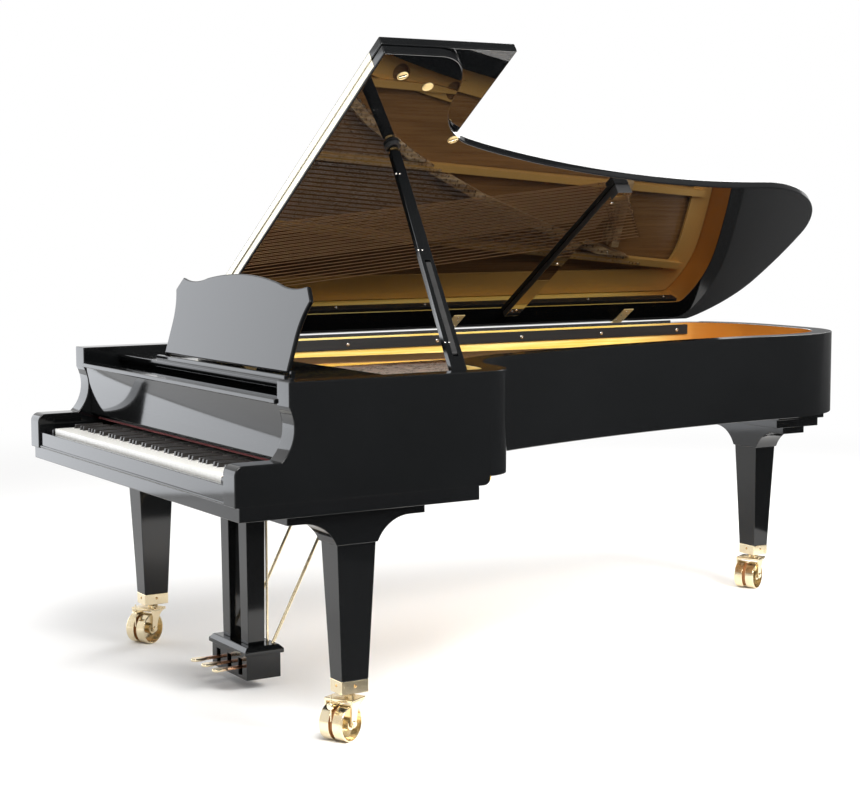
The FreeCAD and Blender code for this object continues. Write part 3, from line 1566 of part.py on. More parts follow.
def pedal_box():
    half = s.pedal_box_half
    wall = s.pedal_box_wall
    shell = centred_box("pedal_box_shell", half, s.pedal_box_front, s.pedal_box_bottom, s.pedal_box_depth,
                        s.pedal_box_height)
    room = centred_box("pedal_box_room", half - wall, s.pedal_box_front + wall, s.pedal_box_bottom + wall,
                       s.pedal_box_depth - wall * 2, s.pedal_box_height - wall)
    wide = half + s.moulding_reach
    deep = s.pedal_box_depth + s.moulding_reach * 2
    flat = s.moulding_height - s.moulding_chamfer
    middle = s.pedal_box_front + s.pedal_box_depth / 2
    band = centred_box("moulding_band", wide, s.pedal_box_front - s.moulding_reach, pedal_box_top, deep, flat)
    slope = taper("moulding_slope", (0, middle), (wide * 2, deep),
                  ((wide - s.moulding_chamfer) * 2, deep - s.moulding_chamfer * 2),
                  pedal_box_top + flat, moulding_top)
    tools = [room]
    for index in (-1, 0, 1):
        centre = s.pedal_pitch * index
        tools.append(box(f"pedal_slot_{index}", (centre - s.pedal_slot_width / 2,
                                                 s.pedal_box_front - s.cut_overrun,
                                                 s.pedal_bottom + s.pedal_thickness / 2
                                                 - s.pedal_slot_height / 2),
                         (s.pedal_slot_width, s.cut_overrun + wall * 2, s.pedal_slot_height)))
        tools.append(cylinder(f"pedal_rod_hole_{index}", (centre, s.rod_y, s.pedal_box_bottom + wall * 2),
                              s.rod_radius + s.rod_gap, s.pedal_box_height + s.moulding_height))
    body = cut("pedal_box_cut", fuse("pedal_box_blank", shell, band, slope), *tools)
    axle = cylinder("pedal_axle", (-half + wall, s.pedal_pivot_y, s.pedal_bottom + s.pedal_thickness / 2),
                    s.pedal_pin_radius, (half - wall) * 2, Vector(1, 0, 0))
    node(fuse("pedal_box_body", body, axle), "pedal_box")


def pedal(name, index):
    shank = s.pedal_shank_half
    toe = s.pedal_toe_radius
    toe_y = s.pedal_tip_y + toe
    neck_y = toe_y + s.pedal_neck_length
    lever = pad(f"pedal_{name}_lever", "XY_Plane", [
        (-shank, s.pedal_rear_y),
        (-shank, neck_y),
        (-toe, toe_y, s.pedal_neck_radius),
        (0, s.pedal_tip_y, toe),
        (toe, toe_y, toe),
        (shank, neck_y, s.pedal_neck_radius),
        (shank, s.pedal_rear_y),
    ], s.pedal_bottom, s.pedal_thickness)
    bore = cylinder(f"pedal_{name}_bore", (-toe, s.pedal_pivot_y, s.pedal_bottom + s.pedal_thickness / 2),
                    s.pedal_pin_radius + s.seat_gap, toe * 2, Vector(1, 0, 0))
    holder = gather(f"pedal_{name}_placed", cut(f"pedal_{name}_bored", lever, bore))
    bind(holder, "Placement.Base.x", s.pedal_pitch * index)
    node(holder, f"pedal_{name}")
    rod_foot = pedal_top + s.seat_gap
    rod = cylinder(f"pedal_{name}_rod", (s.pedal_pitch * index, s.rod_y, rod_foot), s.rod_radius,
                   s.rod_top - rod_foot)
    node(rod, f"pedal_rod_{name}")


def lyre_braces():
    rise = float(s.keybed_bottom - moulding_top)
    run = float(s.brace_rod_top_y - s.brace_rod_foot_y)
    along = Vector(0, run, rise)
    over = float(s.cut_overrun)
    rods = []
    for side in (-1, 1):
        foot = number_vector(s.brace_rod_x * side, s.brace_rod_foot_y, moulding_top)
        heading = Vector(along).normalize()
        rods.append(Part.makeCylinder(float(s.brace_rod_radius), along.Length + over * 2,
                                      foot - heading * over, heading))
    room = centred_box("brace_rod_room", s.pedal_box_half, s.pedal_box_front, moulding_top,
                       s.keybed_rear - s.pedal_box_front, s.keybed_bottom - moulding_top)
    node(overlap("brace_rods", shaped("brace_rod_set", Part.Compound(rods)), room), "lyre_braces")


# The whole piano


def build():
    outer_rim()
    inner_rim()
    soundboard()
    belly_braces()
    keybed()
    front_boards()
    spine_rail()
    pins = strings()
    bridges()
    pin_block(pins)
    iron_plate(pins)
    hammer_action()
    keys()
    dampers()
    lid()
    lid_hinges()
    front_flap()
    lid_batten()
    prop_cup()
    props()
    fallboard()
    music_shelf()
    music_desk()
    legs()
    casters()
    lyre()
    pedal_box()
    for name, index in (("left", -1), ("middle", 0), ("right", 1)):
        pedal(name, index)
    lyre_braces()
    doc.recompute()


def check():
    for feature in doc.Objects:
        if {"Invalid", "Error"} & set(feature.State):
            raise RuntimeError(f"{feature.Label} failed: {feature.State}")
    for piece in nodes:
        if piece.Shape.isNull() or not piece.Shape.isValid() or not piece.Shape.Solids:
            raise RuntimeError(f"{piece.Label} has no valid solid")


def write():
    os.makedirs("parts", exist_ok=True)
    for piece in nodes:
        piece.Shape.exportStep(f"parts/{piece.Label}.step")
        print(piece.Label, len(piece.Shape.Solids), round(piece.Shape.Volume))


build()
check()
write()
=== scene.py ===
import functools
import json
import math

import bmesh
import bpy
from mathutils import Matrix, Vector


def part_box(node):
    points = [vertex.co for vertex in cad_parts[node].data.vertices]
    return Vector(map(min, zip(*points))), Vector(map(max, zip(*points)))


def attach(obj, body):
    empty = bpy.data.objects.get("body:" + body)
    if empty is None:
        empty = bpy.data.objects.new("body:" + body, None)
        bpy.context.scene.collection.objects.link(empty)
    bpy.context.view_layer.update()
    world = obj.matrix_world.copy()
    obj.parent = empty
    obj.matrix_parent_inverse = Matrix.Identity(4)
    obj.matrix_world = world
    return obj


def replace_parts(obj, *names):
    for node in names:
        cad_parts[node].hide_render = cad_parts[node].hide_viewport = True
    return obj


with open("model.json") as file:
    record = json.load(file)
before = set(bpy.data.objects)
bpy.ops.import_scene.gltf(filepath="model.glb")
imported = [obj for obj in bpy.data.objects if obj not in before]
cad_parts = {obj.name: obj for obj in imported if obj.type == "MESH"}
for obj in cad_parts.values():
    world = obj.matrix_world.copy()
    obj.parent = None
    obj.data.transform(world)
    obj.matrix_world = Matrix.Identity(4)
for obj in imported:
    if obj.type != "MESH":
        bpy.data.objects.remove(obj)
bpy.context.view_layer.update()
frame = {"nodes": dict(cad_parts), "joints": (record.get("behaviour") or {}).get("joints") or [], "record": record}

bl_info = {
    "name": "Concert grand piano",
    "version": (1, 0, 0),
    "blender": (4, 5, 0),
    "location": "3D View > Sidebar > Piano",
    "description": "Dresses the solids of a concert grand piano with its trim, fittings and finishes",
    "category": "Object",
}

JOINTS = {joint["name"]: joint for joint in frame["joints"]}
BODY_OF = {
    node: body
    for body, members in frame["record"]["behaviour"]["bodies"].items()
    for node in members
}
X_AXIS = Vector((1, 0, 0))
Y_AXIS = Vector((0, 1, 0))
# How near a solid's face a point counts as on it
NEAR = 0.001


@functools.cache
def box(node):
    """The two corners of a solid's box, which never change."""
    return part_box(node)


def low(node):
    return box(node)[0]


def high(node):
    return box(node)[1]


def middle(node):
    return (low(node) + high(node)) / 2


def pivot(joint):
    return Vector(JOINTS[joint]["pos_m"])


# Sizes and colours


def length(name, description, default):
    return bpy.props.FloatProperty(name=name, description=description, default=default, unit="LENGTH", min=0,
                                   precision=5)


def colour(name, description, default):
    return bpy.props.FloatVectorProperty(name=name, description=description, default=default, subtype="COLOR",
                                         size=3, min=0, max=1)


class PianoSizes(bpy.types.PropertyGroup):
    """Sizes of the trim and the fittings."""

    panel_edge: length("Panel edge", "Rounding of the edges of lid, rim and boards", 0.003)
    desk_edge: length("Desk edge", "Rounding of the music desk's edge", 0.004)
    leg_edge: length("Leg edge", "Rounding of the legs and the lyre posts", 0.002)
    key_edge: length("Key edge", "Rounding of the white keys", 0.0008)
    sharp_edge: length("Sharp edge", "Rounding of the black keys", 0.0018)
    metal_edge: length("Metal edge", "Rounding of brass leaves and brackets", 0.0008)
    pedal_edge: length("Pedal edge", "Rounding of the pedals", 0.0032)
    screw_radius: length("Screw radius", "Radius of the larger screw heads", 0.0055)
    pin_screw_radius: length("Small screw radius", "Radius of the hinge screw heads", 0.0032)
    lid_angle: bpy.props.FloatProperty(name="Lid angle", description="Opening of the lid on its long prop",
                                       default=math.radians(34.3), subtype="ANGLE")


class PianoColours(bpy.types.PropertyGroup):
    """Colours of the finishes."""

    lacquer: colour("Lacquer", "Black polished lacquer", (0.0022, 0.0024, 0.0026))
    veneer_light: colour("Light veneer", "Bright grain of the inner rim", (0.98, 0.79, 0.30))
    # Dark grain of the veneer, which is also the painted shade at the foot of the inner rim
    veneer_grain_and_shade: colour("Dark veneer", "Dark grain of the inner rim", (0.84, 0.54, 0.10))
    # Painted shade: the brown that the veneer is turned to round the tail of the case
    veneer_tail_shade: colour("Tail veneer", "Brown painted shade on the veneer round the tail", (0.42, 0.15, 0.02))
    spruce_light: colour("Light spruce", "Early wood of the soundboard", (0.33, 0.17, 0.06))
    spruce_dark: colour("Dark spruce", "Late wood of the soundboard", (0.21, 0.10, 0.03))
    wood_light: colour("Light wood", "Plain beech and maple", (0.66, 0.46, 0.25))
    wood_dark: colour("Dark wood", "Pores of beech and maple", (0.42, 0.26, 0.12))
    plate: colour("Plate", "Bronze paint of the iron plate", (0.74, 0.42, 0.11))
    plate_flake: colour("Plate flake", "Bright flakes in the bronze paint", (0.95, 0.66, 0.28))
    brass: colour("Brass", "Polished brass", (0.80, 0.69, 0.48))
    brass_leaf: colour("Brass leaf", "Brushed brass of hinges and strips", (0.86, 0.68, 0.34))
    brass_pale: colour("Pale brass", "Brushed strips of the flap's hinge", (0.78, 0.73, 0.57))
    brass_tarnish: colour("Tarnish", "Tarnished brass", (0.62, 0.42, 0.18))
    copper: colour("Copper", "Copper winding", (0.62, 0.30, 0.17))
    steel: colour("Steel", "Drawn steel wire", (0.70, 0.62, 0.56))
    nickel: colour("Nickel", "Nickelled pins and screws", (0.86, 0.84, 0.80))
    ivory: colour("Ivory", "White key tops", (0.86, 0.85, 0.81))
    ebony: colour("Ebony", "Black key tops", (0.012, 0.011, 0.011))
    red_felt: colour("Red felt", "Felt behind the keys", (0.30, 0.016, 0.02))
    white_felt: colour("White felt", "Felt of hammers and dampers", (0.80, 0.77, 0.70))
    tyre: colour("Tyre", "Brown core between the wheels", (0.33, 0.13, 0.035))
    rubber: colour("Rubber", "Black rubber of the seal and the slots", (0.012, 0.012, 0.012))
    floor: colour("Floor", "Pale studio floor", (0.90, 0.90, 0.90))


def sizes():
    return bpy.context.scene.piano_sizes


def tint(name):
    return getattr(bpy.context.scene.piano_colours, name)


# Shader building


class Value:
    """A shader socket on which Python's operators add Math nodes."""

    def __init__(self, shading, socket):
        self.shading = shading
        self.socket = socket

    def reckon(self, operation, first, second):
        return self.shading.add("ShaderNodeMath", {"operation": operation}, {0: first, 1: second})

    def __add__(self, other):
        return self.reckon("ADD", self, other)

    def __radd__(self, other):
        return self.reckon("ADD", other, self)

    def __sub__(self, other):
        return self.reckon("SUBTRACT", self, other)

    def __rsub__(self, other):
        return self.reckon("SUBTRACT", other, self)

    def __mul__(self, other):
        return self.reckon("MULTIPLY", self, other)

    def __rmul__(self, other):
        return self.reckon("MULTIPLY", other, self)


class Shading:
    """A node tree whose nodes are added by name."""

    def __init__(self, tree):
        self.nodes = tree.nodes
        self.links = tree.links

    def add(self, kind, settings=None, sockets=None, output=0):
        """Adds a node, with its settings first and then its sockets, and gives one of its outputs."""
        node = self.nodes.new(kind)
        for name, value in (settings or {}).items():
            setattr(node, name, value)
        for name, value in (sockets or {}).items():
            self.feed(node.inputs[name], value)
        return Value(self, node.outputs[output])

    def feed(self, socket, value):
        if isinstance(value, Value):
            self.links.new(value.socket, socket)
        elif socket.type == "RGBA":
            socket.default_value = (*tuple(value)[:3], 1)
        else:
            socket.default_value = value

    def seen(self):
        """One for the rays of the camera, of reflections and of glass, and zero for all others."""
        total = self.add("ShaderNodeLightPath", output="Is Camera Ray")
        for kind in ("Is Glossy Ray", "Is Transmission Ray"):
            total = total.reckon("MAXIMUM", total, self.add("ShaderNodeLightPath", output=kind))
        return total


class Finish(Shading):
    """A material on a Principled shader."""

    def __init__(self, name):
        self.material = bpy.data.materials.new(name)
        self.material.use_nodes = True
        super().__init__(self.material.node_tree)
        self.shader = self.nodes["Principled BSDF"]
        self.place = self.add("ShaderNodeTexCoord", output="Object")

    def set(self, **sockets):
        for name, value in sockets.items():
            self.feed(self.shader.inputs[name.replace("_", " ")], value)

    def surface(self, shader):
        """Puts another shader in place of the Principled one."""
        self.links.new(shader.socket, self.nodes["Material Output"].inputs["Surface"])

    def noise(self, scale, detail=2.0, stretch=(1, 1, 1), turn=(0, 0, 0)):
        place = self.add("ShaderNodeMapping", None,
                         {"Vector": self.place, "Scale": stretch, "Rotation": turn})
        return self.add("ShaderNodeTexNoise", None, {"Vector": place, "Scale": scale, "Detail": detail})

    def axis(self, name):
        return self.add("ShaderNodeSeparateXYZ", None, {"Vector": self.place}, name)

    def fade(self, value, start, end):
        """A smooth step from 0 at start to 1 at end."""
        return self.add("ShaderNodeMapRange", {"interpolation_type": "SMOOTHSTEP"},
                        {"Value": value, "From Min": start, "From Max": end})

    def mix(self, factor, first, second):
        return self.add("ShaderNodeMix", {"data_type": "RGBA"}, {0: factor, 6: first, 7: second}, 2)

    def bump(self, height, distance, strength=1.0):
        self.set(Normal=self.add("ShaderNodeBump", None,
                                 {"Height": height, "Distance": distance, "Strength": strength}))


# Finishes: each function takes the finish's name, and colours by their names

# Where a finish changes over a piece, as the start and the end of the change: the veneer's height, below which
# painted shade darkens its foot, and its place along the case, past which painted shade turns it brown round the
# tail, then distances from a pedal's toe, from a white key's top and front, and from the tops of the hammers and
# the dampers
VENEER_FOOT_SHADE = (0.925, 0.868)
VENEER_TAIL_SHADE = (2.3, 2.74)
PEDAL_TOE = (0.012, 0.075)
KEY_CAP = (0.0042, 0.0032)
KEY_FACE = (0.004, 0.002)
HAMMER_HEAD = (0.032, 0.026)
DAMPER_HEAD = (0.0135, 0.0125)
DAMPER_WIRE = (0.030, 0.031)


def toned(base, share):
    return [share * channel for channel in base]


def lacquer(name, index, haze):
    finish = Finish(name)
    black = tint("lacquer")
    cloud = finish.noise(3.0, 3.0)
    swirl = finish.noise(260.0, 2.0, (1, 1, 0.2))
    finish.set(Base_Color=finish.mix(cloud, black, toned(black, 1.8)),
               Roughness=haze * (0.6 + cloud * 0.8 + swirl * 0.3), IOR=index)
    finish.bump(finish.noise(38.0, 2.0), 0.00003, 0.25)
    return finish


def satin_black(name):
    finish = Finish(name)
    grain = finish.noise(90.0, 4.0, (0.08, 0.02, 1))
    finish.set(Base_Color=finish.mix(grain, tint("rubber"), (0.022, 0.022, 0.023)),
               Roughness=0.3 + grain * 0.16, IOR=1.3)
    finish.bump(grain, 0.00008, 0.4)
    return finish


def grained(name, light, dark, stretch, turn, gloss, index):
    """Wood whose grain is a stretched noise, with long bands and fine pores."""
    finish = Finish(name)
    figure = finish.noise(1.0, 5.0, stretch, turn)
    pores = finish.noise(6.0, 3.0, stretch, turn)
    patch = finish.noise(2.2, 2.0)
    share = finish.fade(figure * 0.7 + pores * 0.3, 0.36, 0.64)
    warm = finish.mix(patch * 0.35, tint(light), toned(tint(light), 0.82))
    finish.set(Base_Color=finish.mix(share, warm, tint(dark)), Roughness=gloss + pores * 0.12, IOR=index)
    finish.bump(pores, 0.0001, 0.25)
    return finish


def gold_veneer(name):
    """Bright veneer, with painted shade that darkens it at its foot and turns it brown round the tail."""
    finish = grained(name, "veneer_light", "veneer_grain_and_shade", (2.5, 2.5, 150), (0, 0, 0), 0.13, 1.5)
    grain = Value(finish, finish.shader.inputs["Base Color"].links[0].from_socket)
    # Painted shade: the veneer is mixed darker towards its foot, down in the case by the soundboard
    foot = finish.fade(finish.axis("Z"), *VENEER_FOOT_SHADE)
    darker = finish.mix(foot * 0.6, grain, tint("veneer_grain_and_shade"))
    # Painted shade: the veneer turns brown round the tail of the case
    tail = finish.fade(finish.axis("Y"), *VENEER_TAIL_SHADE)
    finish.set(Base_Color=finish.mix(tail, darker, tint("veneer_tail_shade")))
    return finish


def bronze_plate(name):
    finish = Finish(name)
    flakes = finish.fade(finish.noise(900.0, 2.0), 0.52, 0.72)
    cast = finish.noise(140.0, 4.0)
    cloud = finish.noise(4.0, 2.0)
    body = finish.mix(cloud * 0.5, tint("plate"), toned(tint("plate"), 0.7))
    finish.set(Base_Color=finish.mix(flakes * 0.5, body, tint("plate_flake")), Metallic=0.2 + flakes * 0.3,
               Roughness=0.36 + cast * 0.16)
    finish.bump(cast, 0.0003, 0.5)
    return finish


def metal(name, bright, tarnish, gloss, brush):
    finish = Finish(name)
    lines = finish.noise(700.0, 2.0, brush)
    stain = finish.fade(finish.noise(24.0, 4.0), 0.45, 0.85)
    finish.set(Base_Color=finish.mix(stain * 0.5, tint(bright), tint(tarnish)), Metallic=1.0,
               Roughness=gloss + stain * 0.14 + lines * 0.07)
    finish.bump(lines, 0.00004, 0.3)
    return finish


def brushed(name, bright, tarnish):
    """Brushed brass that shows its colour in the shade."""
    finish = Finish(name)
    brush = finish.noise(500.0, 3.0, (1, 0.08, 1))
    cloud = finish.noise(18.0, 3.0)
    finish.set(Base_Color=finish.mix(cloud * 0.5, tint(bright), tint(tarnish)), Metallic=0.5,
               Roughness=0.34 + brush * 0.14)
    finish.bump(brush, 0.00005, 0.3)
    return finish


def pedal_brass(name):
    """Brass that is worn bright on the toe and darker along the shank."""
    finish = Finish(name)
    toe = low("pedal_left").y
    along = finish.fade(finish.axis("Y"), toe + PEDAL_TOE[0], toe + PEDAL_TOE[1])
    scuffs = finish.noise(60.0, 4.0)
    finish.set(Base_Color=finish.mix(along, tint("brass"), tint("copper")), Metallic=1.0,
               Roughness=0.14 + along * 0.1 + scuffs * 0.1)
    finish.bump(scuffs, 0.0001, 0.2)
    return finish


def copper_winding(name):
    finish = Finish(name)
    turns = finish.add("ShaderNodeTexWave", {"bands_direction": "Y"},
                       {"Vector": finish.place, "Scale": 280.0}, 1)
    cloud = finish.noise(40.0, 3.0)
    finish.set(Base_Color=finish.mix(cloud, tint("copper"), tint("brass_tarnish")), Metallic=1.0,
               Roughness=0.25 + cloud * 0.15)
    finish.bump(turns, 0.0002, 0.5)
    return finish


def ivory_keys(name):
    """White tops over wooden sticks, which show when a key goes down."""
    finish = Finish(name)
    top = high("keys_c").z
    front = low("keys_c").y
    cap = finish.fade(finish.axis("Z"), top - KEY_CAP[0], top - KEY_CAP[1])
    face = finish.fade(finish.axis("Y"), front + KEY_FACE[0], front + KEY_FACE[1])
    grain = finish.noise(30.0, 4.0, (20, 0.6, 20))
    haze = finish.noise(5.0, 3.0)
    wood = finish.mix(grain, tint("wood_light"), tint("wood_dark"))
    white = finish.mix(haze * 0.4, tint("ivory"), toned(tint("ivory"), 0.93))
    skin = cap.reckon("MAXIMUM", cap, face)
    finish.set(Base_Color=finish.mix(skin, wood, white), Roughness=0.5 - skin * 0.28 + haze * 0.06)
    finish.bump(grain, 0.00005, 0.15)
    return finish


def ebony_keys(name):
    finish = Finish(name)
    grain = finish.noise(40.0, 4.0, (12, 0.5, 12))
    finish.set(Base_Color=finish.mix(grain, tint("ebony"), (0.03, 0.027, 0.025)),
               Roughness=0.24 + grain * 0.14)
    finish.bump(grain, 0.00008, 0.4)
    return finish


def felt(name, dye):
    finish = Finish(name)
    fibre = finish.noise(900.0, 4.0)
    cloud = finish.noise(70.0, 3.0)
    finish.set(Base_Color=finish.mix(fibre * 0.6 + cloud * 0.4, toned(tint(dye), 0.7), tint(dye)),
               Roughness=0.95, Sheen_Weight=0.35)
    finish.bump(fibre, 0.0006, 0.7)
    return finish


def hammer_felt(name):
    """Pale felt heads on wooden shanks and rails."""
    finish = Finish(name)
    crown = high("hammer_action").z
    head = finish.fade(finish.axis("Z"), crown - HAMMER_HEAD[0], crown - HAMMER_HEAD[1])
    fibre = finish.noise(700.0, 4.0)
    grain = finish.noise(30.0, 3.0, (12, 1, 12))
    wood = finish.mix(grain, tint("wood_light"), tint("wood_dark"))
    pale = finish.mix(fibre, tint("white_felt"), toned(tint("white_felt"), 0.75))
    finish.set(Base_Color=finish.mix(head, wood, pale), Roughness=0.5 + head * 0.4)
    finish.bump(fibre, 0.0004, 0.5)
    return finish


def damper_felt(name):
    """Black wooden heads on pale felt, carried by bright wires."""
    finish = Finish(name)
    crown = high("dampers").z
    head = finish.fade(finish.axis("Z"), crown - DAMPER_HEAD[0], crown - DAMPER_HEAD[1])
    wire = finish.fade(finish.axis("Z"), crown - DAMPER_WIRE[0], crown - DAMPER_WIRE[1])
    fibre = finish.noise(600.0, 4.0)
    pale = finish.mix(fibre, tint("white_felt"), toned(tint("white_felt"), 0.75))
    lower = finish.mix(wire, pale, tint("steel"))
    finish.set(Base_Color=finish.mix(head, lower, tint("ebony")), Roughness=0.85 - head * 0.6 - wire * 0.5,
               Metallic=wire)
    finish.bump(fibre, 0.0003, 0.4)
    return finish


def brown_core(name):
    finish = Finish(name)
    cloud = finish.noise(50.0, 4.0)
    finish.set(Base_Color=finish.mix(cloud, tint("tyre"), toned(tint("tyre"), 0.6)),
               Roughness=0.42 + cloud * 0.2)
    finish.bump(cloud, 0.0002, 0.4)
    return finish


def black_rubber(name):
    finish = Finish(name)
    grit = finish.noise(420.0, 3.0)
    finish.set(Base_Color=finish.mix(grit, tint("rubber"), (0.03, 0.03, 0.03)), Roughness=0.6 + grit * 0.2)
    finish.bump(grit, 0.0002, 0.5)
    return finish


# Each finish: the material slot of the record that it stands for, its function, and what the function takes
FINISHES = {
    "black_lacquer": ("black_lacquer", lacquer, 1.42, 0.055),
    "mirror_lacquer": ("black_lacquer", lacquer, 2.05, 0.014),
    "satin_black": ("black_lacquer", satin_black),
    "gold_veneer": ("spruce_and_maple", gold_veneer),
    "spruce": ("spruce_and_maple", grained,
               "spruce_light", "spruce_dark", (170, 4, 4), (0, 0, 0.6), 0.2, 1.5),
    "plain_wood": ("raw_wood", grained,
                   "wood_light", "wood_dark", (60, 4, 60), (0, 0, 0), 0.45, 1.45),
    "bridge_maple": ("spruce_and_maple", grained,
                     "wood_light", "spruce_dark", (30, 6, 160), (0, 0, 0.1), 0.3, 1.48),
    "bronze_plate": ("bronze_plate", bronze_plate),
    "brass": ("brass", metal, "brass", "brass_tarnish", 0.16, (1, 1, 0.1)),
    "satin_brass": ("brass", brushed, "brass_leaf", "brass_tarnish"),
    "pale_brass": ("brass", brushed, "brass_pale", "nickel"),
    "aged_brass": ("brass", metal, "brass_tarnish", "copper", 0.2, (1, 0.1, 1)),
    "pedal_brass": ("brass", pedal_brass),
    "string_steel": ("string_steel", metal, "steel", "copper", 0.24, (1, 0.05, 1)),
    "copper_winding": ("copper_winding", copper_winding),
    "nickel": ("string_steel", metal, "nickel", "steel", 0.18, (1, 1, 1)),
    "ivory_keys": ("ivory_keys", ivory_keys),
    "ebony_keys": ("ebony_keys", ebony_keys),
    "red_felt": ("raw_wood", felt, "red_felt"),
    "hammer_felt": ("raw_wood", hammer_felt),
    "damper_felt": ("raw_wood", damper_felt),
    "brown_core": ("raw_wood", brown_core),
    "black_rubber": ("black_lacquer", black_rubber),
}
made_finishes = {}


def finish_named(name):
    if name not in made_finishes:
        _, maker, *details = FINISHES[name]
        made_finishes[name] = maker(name, *details).material
    return made_finishes[name]


# Modelling

# Rounding of the pieces that have one of their own
EDGES = {
    "keyslip_bead": 0.001,
    "name_felt": 0.0015,
    "lid_seal": 0.0012,
    "key_cover": 0.001,
    "bridges": 0.0015,
    "plain_strings": 0.00035,
    "wound_strings": 0.001,
    "tuning_pins": 0.0006,
    "hammer_action": 0.0012,
    "dampers": 0.0005,
    "disc_slot": 0.0004,
    "disc_bar": 0.0008,
    "long_prop": 0.0018,
    "short_prop": 0.0015,
    "desk_strut": 0.0012,
    "fork_arm": 0.0012,
    "fork_plate": 0.0025,
    "brake": 0.001,
}
# Angles over which an edge is bevelled, and kept sharp in shading, and under which two faces are made one
BEVEL_ANGLE = 0.6
SHARP_ANGLE = 0.7
FLAT_ANGLE = 0.004
# Distances under which the points of a solid's copy, and of a turned piece, are merged
MERGE = 0.00002
LATHE_MERGE = 0.000001
# The share of a face's normal from which it counts as facing a way, and as the flat top of a screw
FACING = 0.9
SCREW_TOP = 0.95


def select_only(*objects):
    bpy.ops.object.select_all(action="DESELECT")
    for obj in objects:
        obj.select_set(True)
    bpy.context.view_layer.objects.active = objects[0]


def open_edit(obj, kind="FACE"):
    select_only(obj)
    bpy.ops.object.mode_set(mode="EDIT")
    bpy.ops.mesh.select_mode(type=kind)
    bpy.ops.mesh.select_all(action="SELECT")


def close_edit():
    bpy.ops.object.mode_set(mode="OBJECT")


def pick(obj, kind, test):
    """Selects the faces, edges or vertices of an open piece that pass a test."""
    bpy.ops.mesh.select_mode(type=kind)
    bpy.ops.mesh.select_all(action="DESELECT")
    shape = bmesh.from_edit_mesh(obj.data)
    for element in {"FACE": shape.faces, "EDGE": shape.edges, "VERT": shape.verts}[kind]:
        element.select_set(test(element))
    shape.select_flush_mode()
    bmesh.update_edit_mesh(obj.data)


def apply_modifier(obj, kind, **settings):
    select_only(obj)
    modifier = obj.modifiers.new(kind.lower(), kind)
    for name, value in settings.items():
        setattr(modifier, name, value)
    bpy.ops.object.modifier_apply(modifier=modifier.name)


def settle(name):
    """Names the primitive that was just added and moves its place into its mesh."""
    obj = bpy.context.object
    obj.name = name
    bpy.ops.object.transform_apply(location=True, rotation=True, scale=True)
    return obj


def block(name, corner, opposite):
    bpy.ops.object.select_all(action="DESELECT")
    corner = Vector(corner)
    opposite = Vector(opposite)
    bpy.ops.mesh.primitive_cube_add(size=1, location=(corner + opposite) / 2)
    bpy.context.object.scale = opposite - corner
    return settle(name)


def centred_block(name, half_width, half_length, foot, top):
    return block(name, (-half_width, -half_length, foot), (half_width, half_length, top))


def rod(name, start, end, radius, sides=16):
    bpy.ops.object.select_all(action="DESELECT")
    start = Vector(start)
    run = Vector(end) - start
    bpy.ops.mesh.primitive_cylinder_add(vertices=sides, radius=radius, depth=run.length,
                                        location=start + run / 2,
                                        rotation=run.to_track_quat("Z", "Y").to_euler())
    return settle(name)


def lathe(name, profile, sides=24, bored=False):
    """A turned piece along Z: a disc, or a ring if bored, drawn out through (radius, height) points."""
    bpy.ops.object.select_all(action="DESELECT")
    radius, height = profile[0]
    bpy.ops.mesh.primitive_circle_add(vertices=sides, radius=radius, fill_type="NOTHING" if bored else "NGON",
                                      location=(0, 0, height))
    obj = settle(name)
    open_edit(obj, "EDGE" if bored else "FACE")
    for next_radius, next_height in profile[1:] + profile[:bored]:
        bpy.ops.mesh.extrude_region_move(TRANSFORM_OT_translate={"value": (0, 0, next_height - height)})
        share = next_radius / radius
        bpy.ops.transform.resize(value=(share, share, 1), center_override=(0, 0, next_height))
        radius, height = next_radius, next_height
    bpy.ops.mesh.select_all(action="SELECT")
    bpy.ops.mesh.remove_doubles(threshold=LATHE_MERGE)
    bpy.ops.mesh.normals_make_consistent(inside=False)
    close_edit()
    return obj


def slab(name, outline, thickness):
    """A flat piece with an outline of (x, y) points, its middle at Z zero."""
    bpy.ops.object.select_all(action="DESELECT")
    bpy.ops.mesh.primitive_circle_add(vertices=len(outline), radius=1, fill_type="NGON")
    obj = settle(name)
    for vert, (x, y) in zip(obj.data.vertices, outline):
        vert.co = (x, y, -thickness / 2)
    open_edit(obj)
    bpy.ops.mesh.extrude_region_move(TRANSFORM_OT_translate={"value": (0, 0, thickness)})
    bpy.ops.mesh.select_all(action="SELECT")
    bpy.ops.mesh.normals_make_consistent(inside=False)
    close_edit()
    return obj


def rounded(obj, width, segments=3):
    apply_modifier(obj, "BEVEL", width=width, segments=segments, limit_method="ANGLE", angle_limit=BEVEL_ANGLE,
                   use_clamp_overlap=False)
    return smooth(obj)


def smooth(obj):
    select_only(obj)
    bpy.ops.object.shade_smooth_by_angle(angle=SHARP_ANGLE)
    apply_modifier(obj, "WEIGHTED_NORMAL", keep_sharp=True, weight=80)
    return obj


def toward(point, direction):
    """The place of a pattern whose own Z is to point along a direction."""
    turn = Vector(direction).to_track_quat("Z", "Y").to_matrix().to_4x4()
    return Matrix.Translation(Vector(point)) @ turn


def copies(name, pattern, places):
    """One piece with a copy of the pattern at each place."""
    whole = bmesh.new()
    for place in places:
        mesh = pattern.data.copy()
        mesh.transform(place)
        whole.from_mesh(mesh)
        bpy.data.meshes.remove(mesh)
    whole.to_mesh(pattern.data)
    whole.free()
    pattern.name = name
    return pattern


def joined(name, *pieces):
    select_only(*pieces)
    bpy.ops.object.join()
    bpy.context.object.name = name
    return bpy.context.object


def moved(obj, place):
    obj.data.transform(place)
    return obj


def wear(obj, body, finish):
    """Gives a new piece its body and its finish."""
    obj.data.materials.clear()
    obj.data.materials.append(finish_named(finish))
    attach(obj, body)
    return obj


